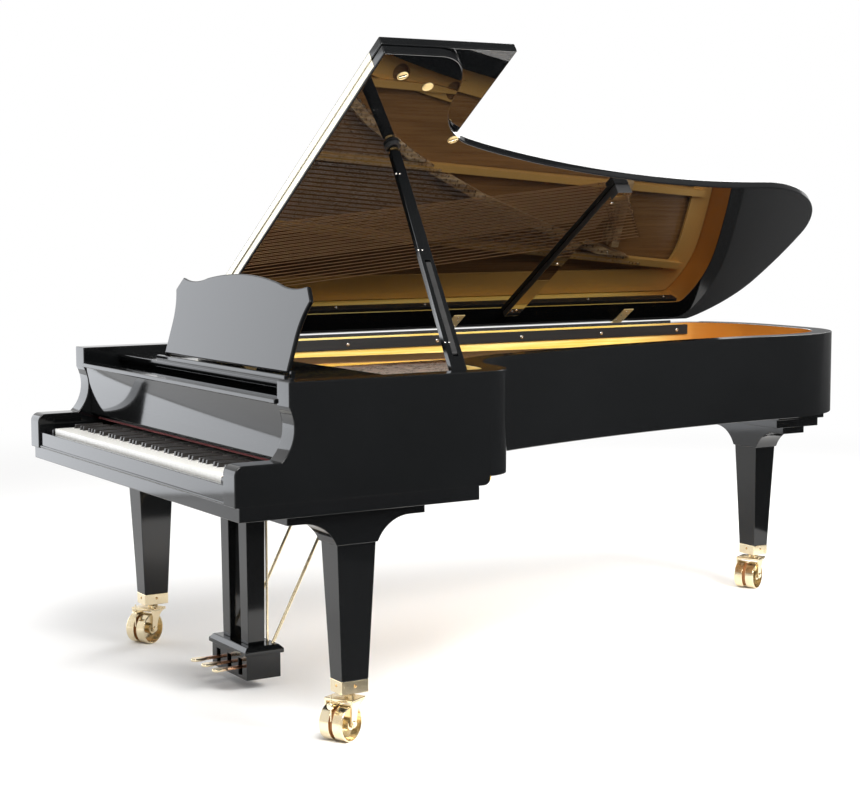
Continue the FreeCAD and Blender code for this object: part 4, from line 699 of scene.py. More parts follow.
def dress(node, finish, edge, segments=3, shaping=None):
    """A copy of a solid with rounded edges, which stands for it."""
    obj = bpy.data.objects.new(node + "_finished", frame["nodes"][node].data.copy())
    bpy.context.scene.collection.objects.link(obj)
    open_edit(obj)
    bpy.ops.mesh.customdata_custom_splitnormals_clear()
    bpy.ops.mesh.remove_doubles(threshold=MERGE)
    bpy.ops.mesh.dissolve_limited(angle_limit=FLAT_ANGLE)
    if shaping:
        shaping(obj)
    close_edit()
    if edge:
        rounded(obj, edge, segments)
    else:
        smooth(obj)
    wear(obj, BODY_OF[node], finish)
    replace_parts(obj, node)
    return obj


def coat(node, finish):
    """Gives a solid that stays as it is its finish."""
    materials = frame["nodes"][node].data.materials
    materials.clear()
    materials.append(finish_named(finish))


def second_finish(obj, finish, test):
    """Puts another finish on the faces that pass a test."""
    obj.data.materials.append(finish_named(finish))
    slot = len(obj.data.materials) - 1
    for face in obj.data.polygons:
        if test(face):
            face.material_index = slot


def screw_pattern(radius):
    """A domed head with a slot, its seat at the origin."""
    obj = lathe("screw", [(radius, -radius * 0.2), (radius, radius * 0.12), (radius * 0.86, radius * 0.3),
                          (radius * 0.5, radius * 0.42)], 12)
    open_edit(obj)
    pick(obj, "FACE", lambda face: face.normal.z > SCREW_TOP)
    bpy.ops.mesh.inset(thickness=radius * 0.16)
    bpy.ops.transform.translate(value=(0, 0, -radius * 0.22))
    close_edit()
    return obj


def screws(name, body, radius, places, finish="nickel"):
    return wear(smooth(copies(name, screw_pattern(radius), places)), body, finish)


def lid_matrix():
    """Takes a point of the closed lid to where it is on the open one."""
    hinge = Matrix.Translation(pivot("lid_hinge"))
    return hinge @ Matrix.Rotation(-sizes().lid_angle, 4, "Y") @ hinge.inverted()


# The closed lid's under side
LID_UNDER = 0.985
LID_DOWN = Vector((0, 0, -1))


def on_lid(x, y, z=LID_UNDER, direction=LID_DOWN):
    """The place of a fitting on the lid's under side, given where it would be on the closed lid."""
    return lid_matrix() @ toward((x, y, z), direction)


# Case

# The bead's radius, and its middle above the keyslip's foot
BEAD_RADIUS = 0.004
BEAD_RISE = 0.006
# The felt behind the white keys, from front to back and from foot to top
NAME_FELT_Y = (0.2035, 0.2105)
NAME_FELT_Z = (0.7485, 0.7545)
# How far the spine rail goes on past its solid, and the run of its screws
RAIL_GROWTH = 0.095
RAIL_SCREWS = 6
RAIL_SCREWS_PAST = 0.06
RAIL_SCREWS_START = 0.03
RAIL_SCREWS_SPREAD = 0.96
# The seal across the spine and along it, and how far it stands in the rim's top and above it
SEAL_X = (-0.7535, -0.7475)
SEAL_Y = (0.62, 2.62)
SEAL_SINK = 0.0005
SEAL_RISE = 0.0050
# The key cover's front, its height over the black keys, and the thickness of its board and riser
COVER_FRONT = 0.2005
COVER_OVER_KEYS = 0.011
COVER_BOARD = 0.0095
COVER_RISER = 0.008
COVER_SIDE_GAP = 0.0005
COVER_OVERLAP = 0.0005
# The line along the case, and the stretch of it, that the veneered faces look towards
CASE_MIDDLE_X = -0.25
CASE_MIDDLE_Y = (0.75, 2.5)
# How much a veneered face may look up or down, and how much it has to look inward
UPRIGHT = 0.4
INWARD = 0.02


class PIANO_OT_case(bpy.types.Operator):
    """Rim, keybed and the boards round the keyboard, with bead, felt, seal and key cover"""

    bl_idname = "piano.case"
    bl_label = "Case"

    def execute(self, context):
        edge = sizes().panel_edge
        rim = dress("outer_rim", "black_lacquer", edge, shaping=split_rim)
        second_finish(rim, "gold_veneer", inside_case)
        for node in ("keybed", "keyslip", "stretcher"):
            dress(node, "black_lacquer", edge * 0.7)
        dress("key_blocks", "black_lacquer", edge * 2)
        dress("spine_rail", "satin_black", edge * 0.7, shaping=lengthen_rail)
        self.moulding()
        self.rail_screws()
        self.lid_seal()
        self.key_cover()
        return {"FINISHED"}

    def moulding(self):
        """A half-round bead along the foot of the keyslip, and the red felt strip behind the white keys."""
        near, far = box("keyslip")
        height = near.z + BEAD_RISE
        bead = rod("keyslip_bead", (near.x, near.y, height), (far.x, near.y, height), BEAD_RADIUS)
        wear(rounded(bead, EDGES["keyslip_bead"], 2), "case", "black_lacquer")
        strip = block("name_felt", (near.x, NAME_FELT_Y[0], NAME_FELT_Z[0]),
                      (far.x, NAME_FELT_Y[1], NAME_FELT_Z[1]))
        wear(rounded(strip, EDGES["name_felt"], 2), "case", "red_felt")

    def rail_screws(self):
        near, far = box("spine_rail")
        run = far.y + RAIL_SCREWS_PAST - near.y
        places = []
        for index in range(RAIL_SCREWS):
            share = RAIL_SCREWS_START + RAIL_SCREWS_SPREAD * index / (RAIL_SCREWS - 1)
            places.append(toward((far.x, near.y + run * share, middle("spine_rail").z), X_AXIS))
        screws("spine_rail_screws", "case", sizes().screw_radius * 1.3, places)

    def lid_seal(self):
        """A rubber strip on top of the spine that closes the gap under the lid."""
        top = high("outer_rim").z
        seal = block("lid_seal", (SEAL_X[0], SEAL_Y[0], top - SEAL_SINK),
                     (SEAL_X[1], SEAL_Y[1], top + SEAL_RISE))
        wear(rounded(seal, EDGES["lid_seal"], 2), "case", "black_rubber")

    def key_cover(self):
        """A board behind the fallboard that hides the backs of the keys, with a riser up to the stretcher."""
        near, far = box("stretcher")
        left = near.x + COVER_SIDE_GAP
        right = far.x - COVER_SIDE_GAP
        back = near.y
        foot = high("keys_c_sharp").z + COVER_OVER_KEYS
        top = foot + COVER_BOARD
        edge = EDGES["key_cover"]
        board = rounded(block("board", (left, COVER_FRONT, foot), (right, back, top)), edge, 2)
        corner = (left, back - COVER_RISER, top - COVER_OVERLAP)
        riser = rounded(block("riser", corner, (right, back, near.z)), edge, 2)
        wear(smooth(joined("key_cover", board, riser)), "case", "black_lacquer")


def lengthen_rail(obj):
    """Takes the rail on to where the spine begins to bend."""
    far = high("spine_rail").y
    pick(obj, "VERT", lambda vert: vert.co.y > far - NEAR)
    bpy.ops.transform.translate(value=(0, RAIL_GROWTH, 0))


def split_rim(obj):
    """Cuts the rim's faces where the lacquer of the arms meets the veneer of the case."""
    bpy.ops.mesh.bisect(plane_co=(0, high("music_shelf").y, 0), plane_no=Y_AXIS)


def inside_case(face):
    """Whether a face of the rim is upright and looks into the case, behind the music shelf."""
    centre = face.center
    nearest = min(max(centre.y, CASE_MIDDLE_Y[0]), CASE_MIDDLE_Y[1])
    inward = Vector((CASE_MIDDLE_X - centre.x, nearest - centre.y, 0))
    behind_shelf = centre.y > high("music_shelf").y
    return behind_shelf and abs(face.normal.z) < UPRIGHT and face.normal.dot(inward) > INWARD


# Soundboard, bridges, plate and strings

# The height that a tuning pin reaches, and its square head's size, the rise of its middle and its taper
PIN_FLOOR = 0.9
PIN_SQUARE = 0.0046
PIN_SQUARE_RISE = 0.0018
PIN_TAPER = 0.8
# A hitch pin's radius, height and foot below the string's end
HITCH_RADIUS = 0.0019
HITCH_HEIGHT = 0.028
HITCH_DROP = 0.022
# A bridge pin's radius and height, and how far the two lie along the string and beside it
BRIDGE_PIN_RADIUS = 0.0009
BRIDGE_PIN_HEIGHT = 0.006
BRIDGE_PIN_ALONG = 0.009
BRIDGE_PIN_BESIDE = 0.0022
# From a string's rear end back to the bridge
STRING_TAILS = {"plain_strings": 0.040, "wound_strings": 0.105}
# How near the end of a string its end points lie
STRING_TIP = 0.002


class PIANO_OT_belly(bpy.types.Operator):
    """Inner rim, braces, pin block, soundboard and bridges"""

    bl_idname = "piano.belly"
    bl_label = "Belly"

    def execute(self, context):
        coat("inner_rim", "gold_veneer")
        coat("belly_braces", "plain_wood")
        coat("pin_block", "plain_wood")
        coat("soundboard", "spruce")
        dress("bridges", "bridge_maple", EDGES["bridges"], 2)
        return {"FINISHED"}


class PIANO_OT_plate(bpy.types.Operator):
    """Cast plate in bronze paint"""

    bl_idname = "piano.plate"
    bl_label = "Plate"

    def execute(self, context):
        coat("iron_plate", "bronze_plate")
        return {"FINISHED"}


class PIANO_OT_strings(bpy.types.Operator):
    """Round strings, tuning pins with their square heads, hitch pins and bridge pins"""

    bl_idname = "piano.strings"
    bl_label = "Strings"

    def execute(self, context):
        dress("plain_strings", "string_steel", EDGES["plain_strings"], 1)
        dress("wound_strings", "copper_winding", EDGES["wound_strings"], 1)
        self.tuning_pins()
        self.hitch_pins()
        return {"FINISHED"}

    def tuning_pins(self):
        """The pins with their square heads above the coil."""
        pins = dress("tuning_pins", "nickel", EDGES["tuning_pins"], 1)
        squares = []
        for places in islands(pins):
            if max(place.z for place in places) > PIN_FLOOR:
                centre = middle_of(places)
                squares.append(Matrix.Translation((centre.x, centre.y, high("tuning_pins").z)))
        bpy.ops.object.select_all(action="DESELECT")
        bpy.ops.mesh.primitive_cube_add(size=PIN_SQUARE, location=(0, 0, PIN_SQUARE_RISE))
        head = settle("pin_head")
        open_edit(head)
        pick(head, "FACE", lambda face: face.normal.z > FACING)
        bpy.ops.transform.resize(value=(PIN_TAPER, PIN_TAPER, 1))
        close_edit()
        wear(copies("tuning_pin_heads", head, squares), "case", "nickel")

    def hitch_pins(self):
        """A pin on the plate at the end of each string, and two in the bridge where it crosses."""
        hitches = []
        crossings = []
        for name, tail in STRING_TAILS.items():
            for end, run in string_ends(name):
                hitches.append(Matrix.Translation((end.x, end.y, end.z - HITCH_DROP)))
                place = end - run * tail
                along = run * BRIDGE_PIN_ALONG
                side = Vector((run.y, -run.x, 0)) * BRIDGE_PIN_BESIDE
                crossings.append(Matrix.Translation(place - along + side))
                crossings.append(Matrix.Translation(place + along - side))
        large = pin_shape("hitch_pin", HITCH_RADIUS, HITCH_HEIGHT)
        wear(copies("hitch_pins", large, hitches), "case", "nickel")
        small = pin_shape("bridge_pin", BRIDGE_PIN_RADIUS, BRIDGE_PIN_HEIGHT)
        wear(copies("bridge_pins", small, crossings), "case", "aged_brass")


def pin_shape(name, radius, height):
    """A short pin with a narrowed top, standing on the origin."""
    return lathe(name, [(radius, 0), (radius, height * 0.9), (radius * 0.6, height)], 6)


def middle_of(places):
    return sum(places, Vector()) / len(places)


def islands(obj):
    """The points of each loose part of a mesh."""
    parts = bmesh.new()
    parts.from_mesh(obj.data)
    seen = set()
    found = []
    for vert in parts.verts:
        if vert in seen:
            continue
        group = [vert]
        seen.add(vert)
        for member in group:
            for edge in member.link_edges:
                other = edge.other_vert(member)
                if other not in seen:
                    seen.add(other)
                    group.append(other)
        found.append([member.co.copy() for member in group])
    parts.free()
    return found


def string_ends(name):
    """The rear end of each string and the way it runs."""
    ends = []
    for places in islands(bpy.data.objects[name + "_finished"]):
        rear = max(place.y for place in places)
        front = min(place.y for place in places)
        end = middle_of([place for place in places if place.y > rear - STRING_TIP])
        start = middle_of([place for place in places if place.y < front + STRING_TIP])
        ends.append((end, (end - start).normalized()))
    return ends


# Keyboard and action

# How far the top of a black key's front leans back
SHARP_LEAN = 0.006


class PIANO_OT_keys(bpy.types.Operator):
    """White and black keys with rounded edges"""

    bl_idname = "piano.keys"
    bl_label = "Keys"

    def execute(self, context):
        for node in frame["nodes"]:
            if node.startswith("keys_") and node.endswith("_sharp"):
                dress(node, "ebony_keys", sizes().sharp_edge, 3, slope_sharps)
            elif node.startswith("keys_"):
                dress(node, "ivory_keys", sizes().key_edge, 2)
        return {"FINISHED"}


def slope_sharps(obj):
    """Leans the front of each black key back."""
    near, far = box("keys_c_sharp")
    pick(obj, "VERT", lambda vert: vert.co.z > far.z - NEAR and vert.co.y < near.y + NEAR)
    bpy.ops.transform.translate(value=(0, SHARP_LEAN, 0))


class PIANO_OT_action(bpy.types.Operator):
    """Hammers on their rail and dampers on their tray"""

    bl_idname = "piano.action"
    bl_label = "Action"

    def execute(self, context):
        dress("hammer_action", "hammer_felt", EDGES["hammer_action"], 1)
        dress("dampers", "damper_felt", EDGES["dampers"], 1)
        return {"FINISHED"}


# Lid and props, with the lid's fittings placed as on the closed lid

# The batten's screws: their row, the depth of the batten, and where each lies across
BATTEN_ROW = 1.80
BATTEN_DEPTH = 0.020
BATTEN_START = -0.62
BATTEN_RUN = 0.70
BATTEN_SHARES = (0.02, 0.46, 1.0)
# The hinges: their line, the length that they share and their shares of it, a leaf's depth, and its screws
# as (reach, side)
HINGE_LINE = -0.755
HINGE_LENGTH = 2.85
HINGE_SHARES = (0.268, 0.558, 0.828)
LEAF_DEPTH = 0.0024
LEAF_SCREWS = ((0.02, -0.015), (0.02, 0.015), (0.055, -0.013), (0.055, 0.013), (0.08, 0))
# Hinge strips in front of this line belong to the flap
FLAP_STRIPS_END = 0.7
# The flap strip's screws: count, start, run, row and height
STRIP_SCREWS = 34
STRIP_START = -0.74
STRIP_RUN = 1.43
STRIP_ROW = 0.5886
STRIP_HEIGHT = 1.001
# The free end of the flap's strips, how near it a point is moved, and how far
STRIP_END = Vector((0.773, 0.59, 1.0))
STRIP_REACH = 0.05
STRIP_CUT = Vector((-0.066, 0, 0))
# The lid's discs and pad: places, turn and profiles as (radius, height)
DISC_PLACES = ((0.678, 0.694), (0.386, 1.014))
PAD_PLACE = (0.634, 0.799)
DISC_TURN = 0.5
DISC_RADIUS = 0.017
DISC_PROFILE = [
    (DISC_RADIUS, -0.001), (DISC_RADIUS, 0.0018), (DISC_RADIUS * 0.9, 0.0032), (DISC_RADIUS * 0.82, 0.0034),
    (DISC_RADIUS * 0.78, 0.0028),
]
PAD_PROFILE = [
    (DISC_RADIUS, -0.001), (DISC_RADIUS, 0.0022), (DISC_RADIUS * 0.88, 0.0036), (DISC_RADIUS * 0.8, 0.0032),
]
# The slot of a disc and the bar in it: half the width, half the length, foot and top
DISC_SLOT = (0.0066, 0.0125, 0.0020, 0.0031)
DISC_BAR = (0.0022, 0.0125, 0.0026, 0.0050)
# The prop's ring: profile, and how far below the cup it sits
RING_PROFILE = [(0.0118, 0), (0.0148, 0.002), (0.0148, 0.008), (0.0118, 0.010)]
RING_BELOW_CUP = 0.024
# The prop's screws: shares of its length, sides, and the way from its line to its face
PROP_SHARES = (0.13, 0.52, 0.86)
PROP_SIDES = (-0.006, 0.006)
PROP_OFFSET = 0.0135
PROP_FACE = 0.012


class PIANO_OT_lid(bpy.types.Operator):
    """Lid, folded front flap, batten, hinges and the fittings on the lid's under side"""

    bl_idname = "piano.lid"
    bl_label = "Lid"

    def execute(self, context):
        edge = sizes().panel_edge
        down = lid_matrix().to_3x3() @ LID_DOWN
        for node in ("lid", "front_flap"):
            board = dress(node, "black_lacquer", edge * 1.6)
            second_finish(board, "mirror_lacquer", lambda face: face.normal.dot(down) > FACING)
        batten = dress("lid_batten", "satin_black", edge)
        second_finish(batten, "mirror_lacquer", lambda face: face.normal.dot(down) > FACING)
        strips = dress("lid_hinges", "satin_brass", sizes().metal_edge * 0.5, 1, shorten_strip)
        second_finish(strips, "pale_brass", lambda face: face.center.y < FLAP_STRIPS_END)
        dress("flap_hinge", "pale_brass", sizes().metal_edge * 0.5, 1, shorten_strip)
        dress("case_hinges", "satin_brass", sizes().metal_edge * 0.5, 1)
        dress("prop_cup", "satin_black", sizes().metal_edge, 2)
        self.batten_screws()
        self.hinge_screws()
        self.lid_buttons()
        return {"FINISHED"}

    def batten_screws(self):
        places = [
            on_lid(BATTEN_START + BATTEN_RUN * share, BATTEN_ROW, LID_UNDER - BATTEN_DEPTH)
            for share in BATTEN_SHARES
        ]
        screws("batten_screws", "lid", sizes().screw_radius, places)

    def hinge_screws(self):
        places = []
        for share in HINGE_SHARES:
            row = HINGE_LENGTH * share
            for reach, side in LEAF_SCREWS:
                places.append(on_lid(HINGE_LINE + reach, row + side, LID_UNDER - LEAF_DEPTH))
        screws("hinge_screws", "lid", sizes().pin_screw_radius, places)
        dots = []
        for index in range(STRIP_SCREWS):
            across = STRIP_START + STRIP_RUN * index / (STRIP_SCREWS - 1)
            dots.append(on_lid(across, STRIP_ROW, STRIP_HEIGHT, -Y_AXIS))
        screws("flap_strip_screws", "lid", sizes().pin_screw_radius * 0.6, dots, "aged_brass")

    def lid_buttons(self):
        """Two slotted brass discs with a raised bar in the slot, and a plain round one."""
        places = [on_lid(*centre) @ Matrix.Rotation(DISC_TURN, 4, "Z") for centre in DISC_PLACES]
        disc = lathe("disc", DISC_PROFILE, 32)
        wear(smooth(copies("lid_discs", disc, places)), "lid", "satin_brass")
        slot = rounded(centred_block("slot", *DISC_SLOT), EDGES["disc_slot"], 1)
        wear(copies("lid_disc_slots", slot, places), "lid", "black_rubber")
        bar = rounded(centred_block("bar", *DISC_BAR), EDGES["disc_bar"], 2)
        wear(copies("lid_disc_bars", bar, places), "lid", "brass")
        pad = lathe("pad", PAD_PROFILE, 32)
        wear(smooth(copies("lid_pad", pad, [on_lid(*PAD_PLACE)])), "lid", "satin_brass")


def shorten_strip(obj):
    """Ends the strips of the flap's hinge short of the free corner."""
    free = lid_matrix() @ STRIP_END
    pick(obj, "VERT", lambda vert: vert.co.x > free.x - STRIP_REACH)
    bpy.ops.transform.translate(value=lid_matrix().to_3x3() @ STRIP_CUT)


class PIANO_OT_props(bpy.types.Operator):
    """Long prop with its ring and screws, and the short prop nested in it"""

    bl_idname = "piano.props"
    bl_label = "Props"

    def execute(self, context):
        dress("long_prop", "black_lacquer", EDGES["long_prop"], 2)
        dress("short_prop", "satin_black", EDGES["short_prop"], 2)
        foot = pivot("prop_hinge")
        tip = middle("prop_cup")
        run = (tip - foot).normalized()
        hinge = Vector(JOINTS["prop_hinge"]["axis"])
        face = hinge.cross(run).normalized()
        if face.x < 0:
            face = -face
        span = (tip - foot).length
        collar = foot + run * (span - RING_BELOW_CUP)
        ring = moved(lathe("prop_ring", RING_PROFILE, 28), toward(collar, run))
        wear(smooth(ring), "long_prop", "aged_brass")
        places = []
        for share in PROP_SHARES:
            for side in PROP_SIDES:
                centre = foot + run * span * share + hinge * (side + PROP_OFFSET) + face * PROP_FACE
                places.append(toward(centre, face))
        screws("prop_screws", "long_prop", sizes().pin_screw_radius * 0.8, places)
        return {"FINISHED"}


# Keyboard lid, shelf and music desk


class PIANO_OT_front(bpy.types.Operator):
    """Fallboard, music shelf and music desk"""

    bl_idname = "piano.front"
    bl_label = "Front fittings"

    def execute(self, context):
        edge = sizes().panel_edge
        dress("fallboard", "black_lacquer", edge)
        dress("music_shelf", "black_lacquer", edge * 0.8)
        dress("music_desk", "black_lacquer", sizes().desk_edge)
        dress("desk_strut", "black_lacquer", EDGES["desk_strut"], 2)
        return {"FINISHED"}


# Legs, casters and lyre

CORNERS = ("bass", "treble", "tail")
# From a ferrule's middle to its end faces and to its side faces, and the height of its screws over the swivel
FERRULE_LONG = 0.041
FERRULE_SHORT = 0.033
FERRULE_SCREW_RISE = 0.021


class PIANO_OT_legs(bpy.types.Operator):
    """Legs with their brass ferrules"""

    bl_idname = "piano.legs"
    bl_label = "Legs"

    def execute(self, context):
        dress("legs", "black_lacquer", sizes().leg_edge)
        dress("caster_ferrules", "brass", sizes().metal_edge * 2)
        places = []
        for name in CORNERS:
            foot = pivot(f"caster_{name}_swivel")
            along, across = FERRULE_LONG, FERRULE_SHORT
            if name == "tail":
                along, across = across, along
            height = foot.z + FERRULE_SCREW_RISE
            for side in (-1, 1):
                places.append(toward((foot.x, foot.y + side * along, height), Y_AXIS * side))
                places.append(toward((foot.x + side * across, foot.y, height), X_AXIS * side))
        screws("ferrule_screws", "case", sizes().screw_radius * 0.8, places, "aged_brass")
        return {"FINISHED"}


# From the swivel to the axle, the wheel's radius, and an arm's distance from the middle of the fork
CASTER_TRAIL = 0.044
WHEEL_RADIUS = 0.050
FORK_ARM = 0.042
# An arm's thickness, and its outline as (along, up) points: hollow under the swivel, round at the axle and
# straight on the outer side
ARM_THICKNESS = 0.006
ARM_HOLLOW = [
    (0.006, 0.1125), (0.004, 0.106), (-0.008, 0.102), (-0.018, 0.093), (-0.025, 0.080), (-0.030, 0.065),
]
ARM_ROUND = 0.012
ARM_STRAIGHT = [(-0.055, 0.080), (-0.053, 0.1125)]
# The fork's outer faces, and its plate from end to end and from foot to top
FORK_EDGE = FORK_ARM + 0.003
FORK_PLATE_Y = (-0.056, 0.013)
FORK_PLATE_Z = (0.106, 0.115)
# Turned pieces as (radius, height)
STEM_PROFILE = [(0.0165, 0.1145), (0.0165, 0.1185), (0.015, 0.1198), (0.013, 0.1202), (0.013, 0.1237)]
BOSS_PROFILE = [(0.0085, 0.1145), (0.0085, 0.1205), (0.0072, 0.1216)]
BOSS_PLACE = (0.021, -0.022, 0)
AXLE_RADIUS = 0.006
CAP_PROFILE = [(0.0085, -0.0005), (0.0085, 0.0022), (0.0075, 0.0034), (0.004, 0.004)]
KNOB_PROFILE = [(0.0085, 0), (0.0095, 0.001), (0.0095, 0.005), (0.008, 0.0068), (0.004, 0.0075)]
# One cup of the wheels from its bore round its rim to the groove, with its outer edge at WHEEL_EDGE
WHEEL_EDGE = FORK_ARM - 0.0045
CUP_PROFILE = [
    (0.0064, WHEEL_EDGE - 0.0008), (0.0160, WHEEL_EDGE - 0.0008), (0.0172, WHEEL_EDGE - 0.0018),
    (0.0172, 0.0120), (0.0185, 0.0110), (0.0430, 0.0110), (0.0448, 0.0122), (0.0455, 0.0140),
    (0.0458, WHEEL_EDGE - 0.0010), (0.0466, WHEEL_EDGE - 0.0002), (0.0476, WHEEL_EDGE),
    (0.0490, WHEEL_EDGE - 0.0006), (0.0498, WHEEL_EDGE - 0.0018), (0.0500, WHEEL_EDGE - 0.0035),
    (0.0500, 0.0072), (0.0494, 0.0062), (0.0482, 0.0060), (0.0240, 0.0060),
]
CORE_PROFILE = [
    (0.0245, -0.0057), (0.041, -0.0057), (0.0425, -0.004),
    (0.0425, 0.004), (0.041, 0.0057), (0.0245, 0.0057),
]
# The brake's rod beyond the axle: its place, its foot and top, and its radius
BRAKE_REACH = -0.0885
BRAKE_ROD_Z = (0.060, 0.134)
BRAKE_ROD_RADIUS = 0.0023
# The brake's arm: half its width, its inner end, and its foot and top
BRAKE_ARM_HALF = 0.003
BRAKE_ARM_END = -0.05
BRAKE_ARM_Z = (0.0985, 0.1075)
# The knob's height, and how far it sits off the rod's middle
KNOB_HEIGHT = 0.103
KNOB_OFF = 0.001


class PIANO_OT_casters(bpy.types.Operator):
    """Swivelling forks with double cup wheels, axle caps and brakes"""

    bl_idname = "piano.casters"
    bl_label = "Casters"

    def execute(self, context):
        for name in CORNERS:
            stem = pivot(f"caster_{name}_swivel")
            axle = Vector(JOINTS[f"caster_{name}_roll"]["axis"])
            turn = Matrix.Rotation(math.atan2(axle.y, axle.x), 4, "Z")
            place = Matrix.Translation((stem.x, stem.y, 0)) @ turn
            self.fork(name, place)
            self.wheels(name, place)
            if name != "tail":
                self.brake(name, place)
        return {"FINISHED"}

    def fork(self, name, place):
        """A plate on a stem, and two arms that narrow to the axle."""
        arm = rounded(slab("arm", arm_outline(), ARM_THICKNESS), EDGES["fork_arm"], 2)
        sideways = Matrix(((0, 0, 1, 0), (1, 0, 0, 0), (0, 1, 0, 0), (0, 0, 0, 1)))
        places = [Matrix.Translation((side * FORK_ARM, 0, 0)) @ sideways for side in (-1, 1)]
        arms = copies("arms", arm, places)
        plate = block("plate", (-FORK_EDGE, FORK_PLATE_Y[0], FORK_PLATE_Z[0]),
                      (FORK_EDGE, FORK_PLATE_Y[1], FORK_PLATE_Z[1]))
        plate = rounded(plate, EDGES["fork_plate"])
        stem = lathe("stem", STEM_PROFILE, 28)
        boss = moved(lathe("boss", BOSS_PROFILE, 20), Matrix.Translation(BOSS_PLACE))
        axle_ends = [Vector((side * FORK_EDGE, -CASTER_TRAIL, WHEEL_RADIUS)) for side in (-1, 1)]
        axle = rod("axle", *axle_ends, AXLE_RADIUS, 20)
        fork = moved(smooth(joined(f"caster_fork_{name}_finished", plate, arms, stem, boss, axle)), place)
        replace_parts(wear(fork, f"caster_fork_{name}", "brass"), f"caster_fork_{name}")
        cap = lathe("cap", CAP_PROFILE, 24)
        caps = [place @ toward(end, X_AXIS * side) for end, side in zip(axle_ends, (-1, 1))]
        wear(smooth(copies(f"axle_caps_{name}", cap, caps)), f"caster_fork_{name}", "brass")

    def wheels(self, name, place):
        """Two deep cups back to back on a hub, with the brown core between them."""
        pair = [(radius, -height) for radius, height in CUP_PROFILE] + CUP_PROFILE[::-1]
        centre = place @ toward((0, -CASTER_TRAIL, WHEEL_RADIUS), X_AXIS)
        wheels = moved(smooth(lathe(f"caster_wheels_{name}_finished", pair, 48, True)), centre)
        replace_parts(wear(wheels, f"caster_wheels_{name}", "brass"), f"caster_wheels_{name}")
        core = moved(lathe(f"wheel_core_{name}", CORE_PROFILE, 48), centre)
        wear(smooth(core), f"caster_wheels_{name}", "brown_core")

    def brake(self, name, place):
        """A rod that drops between the wheels, with a knob, on a short arm from the plate."""
        arm = block("arm", (-BRAKE_ARM_HALF, BRAKE_REACH, BRAKE_ARM_Z[0]),
                    (BRAKE_ARM_HALF, BRAKE_ARM_END, BRAKE_ARM_Z[1]))
        arm = rounded(arm, EDGES["brake"], 2)
        foot, top = [(0, BRAKE_REACH, height) for height in BRAKE_ROD_Z]
        pin = rounded(rod("pin", foot, top, BRAKE_ROD_RADIUS, 14), EDGES["brake"], 2)
        seat = (0, BRAKE_REACH - KNOB_OFF, KNOB_HEIGHT)
        knob = moved(lathe("knob", KNOB_PROFILE, 28), toward(seat, -Y_AXIS))
        brake = moved(smooth(joined(f"caster_brake_{name}", arm, pin, knob)), place)
        wear(brake, f"caster_fork_{name}", "brass")


def arm_outline():
    """Outline of a fork's arm, with a round end about the axle."""
    round_end = []
    for degrees in range(15, -181, -15):
        angle = math.radians(degrees)
        along = -CASTER_TRAIL + ARM_ROUND * math.cos(angle)
        round_end.append((along, WHEEL_RADIUS + ARM_ROUND * math.sin(angle)))
    return ARM_HOLLOW + round_end + ARM_STRAIGHT


class PIANO_OT_lyre(bpy.types.Operator):
    """Lyre posts, pedal box, pedals, rods and braces"""

    bl_idname = "piano.lyre"
    bl_label = "Lyre"

    def execute(self, context):
        dress("lyre", "black_lacquer", sizes().leg_edge)
        dress("pedal_box", "black_lacquer", sizes().leg_edge)
        coat("lyre_braces", "brass")
        for name in ("left", "middle", "right"):
            dress(f"pedal_{name}", "pedal_brass", sizes().pedal_edge, 3)
            coat(f"pedal_rod_{name}", "brass")
        return {"FINISHED"}


# Stage

FLOOR_RADIUS = 30
FLOOR_PLACE = (0, 1.4, 0)
# Around this point the floor shows its shadow, and between these distances it fades to white
FLOOR_MIDDLE = (-0.2, 1.2, 0)
FLOOR_FADE = (1.6, 6.5)
# How much of the white world lights the object
WORLD_LIGHT = 0.45
# Name, place, aim, width, height, and the brightness of the lower and the upper edge
CARDS = (
    ("side_card", (1.75, 1.95, 1.5), (0, 0.2, 1.5), 7.0, 3.0, 0.08, 0.4),
    ("tail_card", (-0.4, 3.5, 0.55), (-0.4, 2.0, 1.2), 3.0, 1.3, 0.04, 0.25),
    ("top_card", (1.0, 2.2, 3.5), (0.9, 1.6, 0), 4.4, 4.0, 0.03, 0.12),
    ("floor_card", (2.6, 0.9, 0.003), (2.6, 0.9, 1), 3.2, 5.0, 0.12, 0.30),
)
# The lamps' colours, and each lamp's name, place, aim, width, height, power and colour
COOL = (0.9, 0.94, 1.0)
WARM = (1.0, 0.985, 0.96)
LIGHTS = (
    ("front_box", (-3.4, -1.6, 1.12), (0.2, 0.2, 0.9), 2.8, 2.2, 46, COOL),
    ("key_box", (3.2, -1.0, 4.2), (0, 1.0, 0.8), 2.4, 2.4, 300, WARM),
    ("inner_box", (3.2, 2.4, 2.3), (-0.6, 1.5, 0.9), 1.6, 1.2, 170, WARM),
    ("top_box", (1.5, 2.6, 4.6), (-0.1, 1.6, 0.9), 2.6, 2.6, 190, WARM),
    ("back_box", (-2.8, 4.6, 3.0), (-0.2, 1.6, 0.9), 2.2, 2.2, 110, WARM),
)
CAMERA_PLACE = (4.9545, -2.0027, 1.4170)
# Tilt, roll and heading in degrees, and the lens and the width of its sensor in millimetres
CAMERA_TURN = (90 - 5.846, 0.11, 58.39)
CAMERA_LENS = 77.34
CAMERA_SENSOR = 36


def aimed(place, aim, axis):
    """The turn that points an axis from a place to its aim."""
    return (Vector(aim) - Vector(place)).to_track_quat(axis, "Y").to_euler()


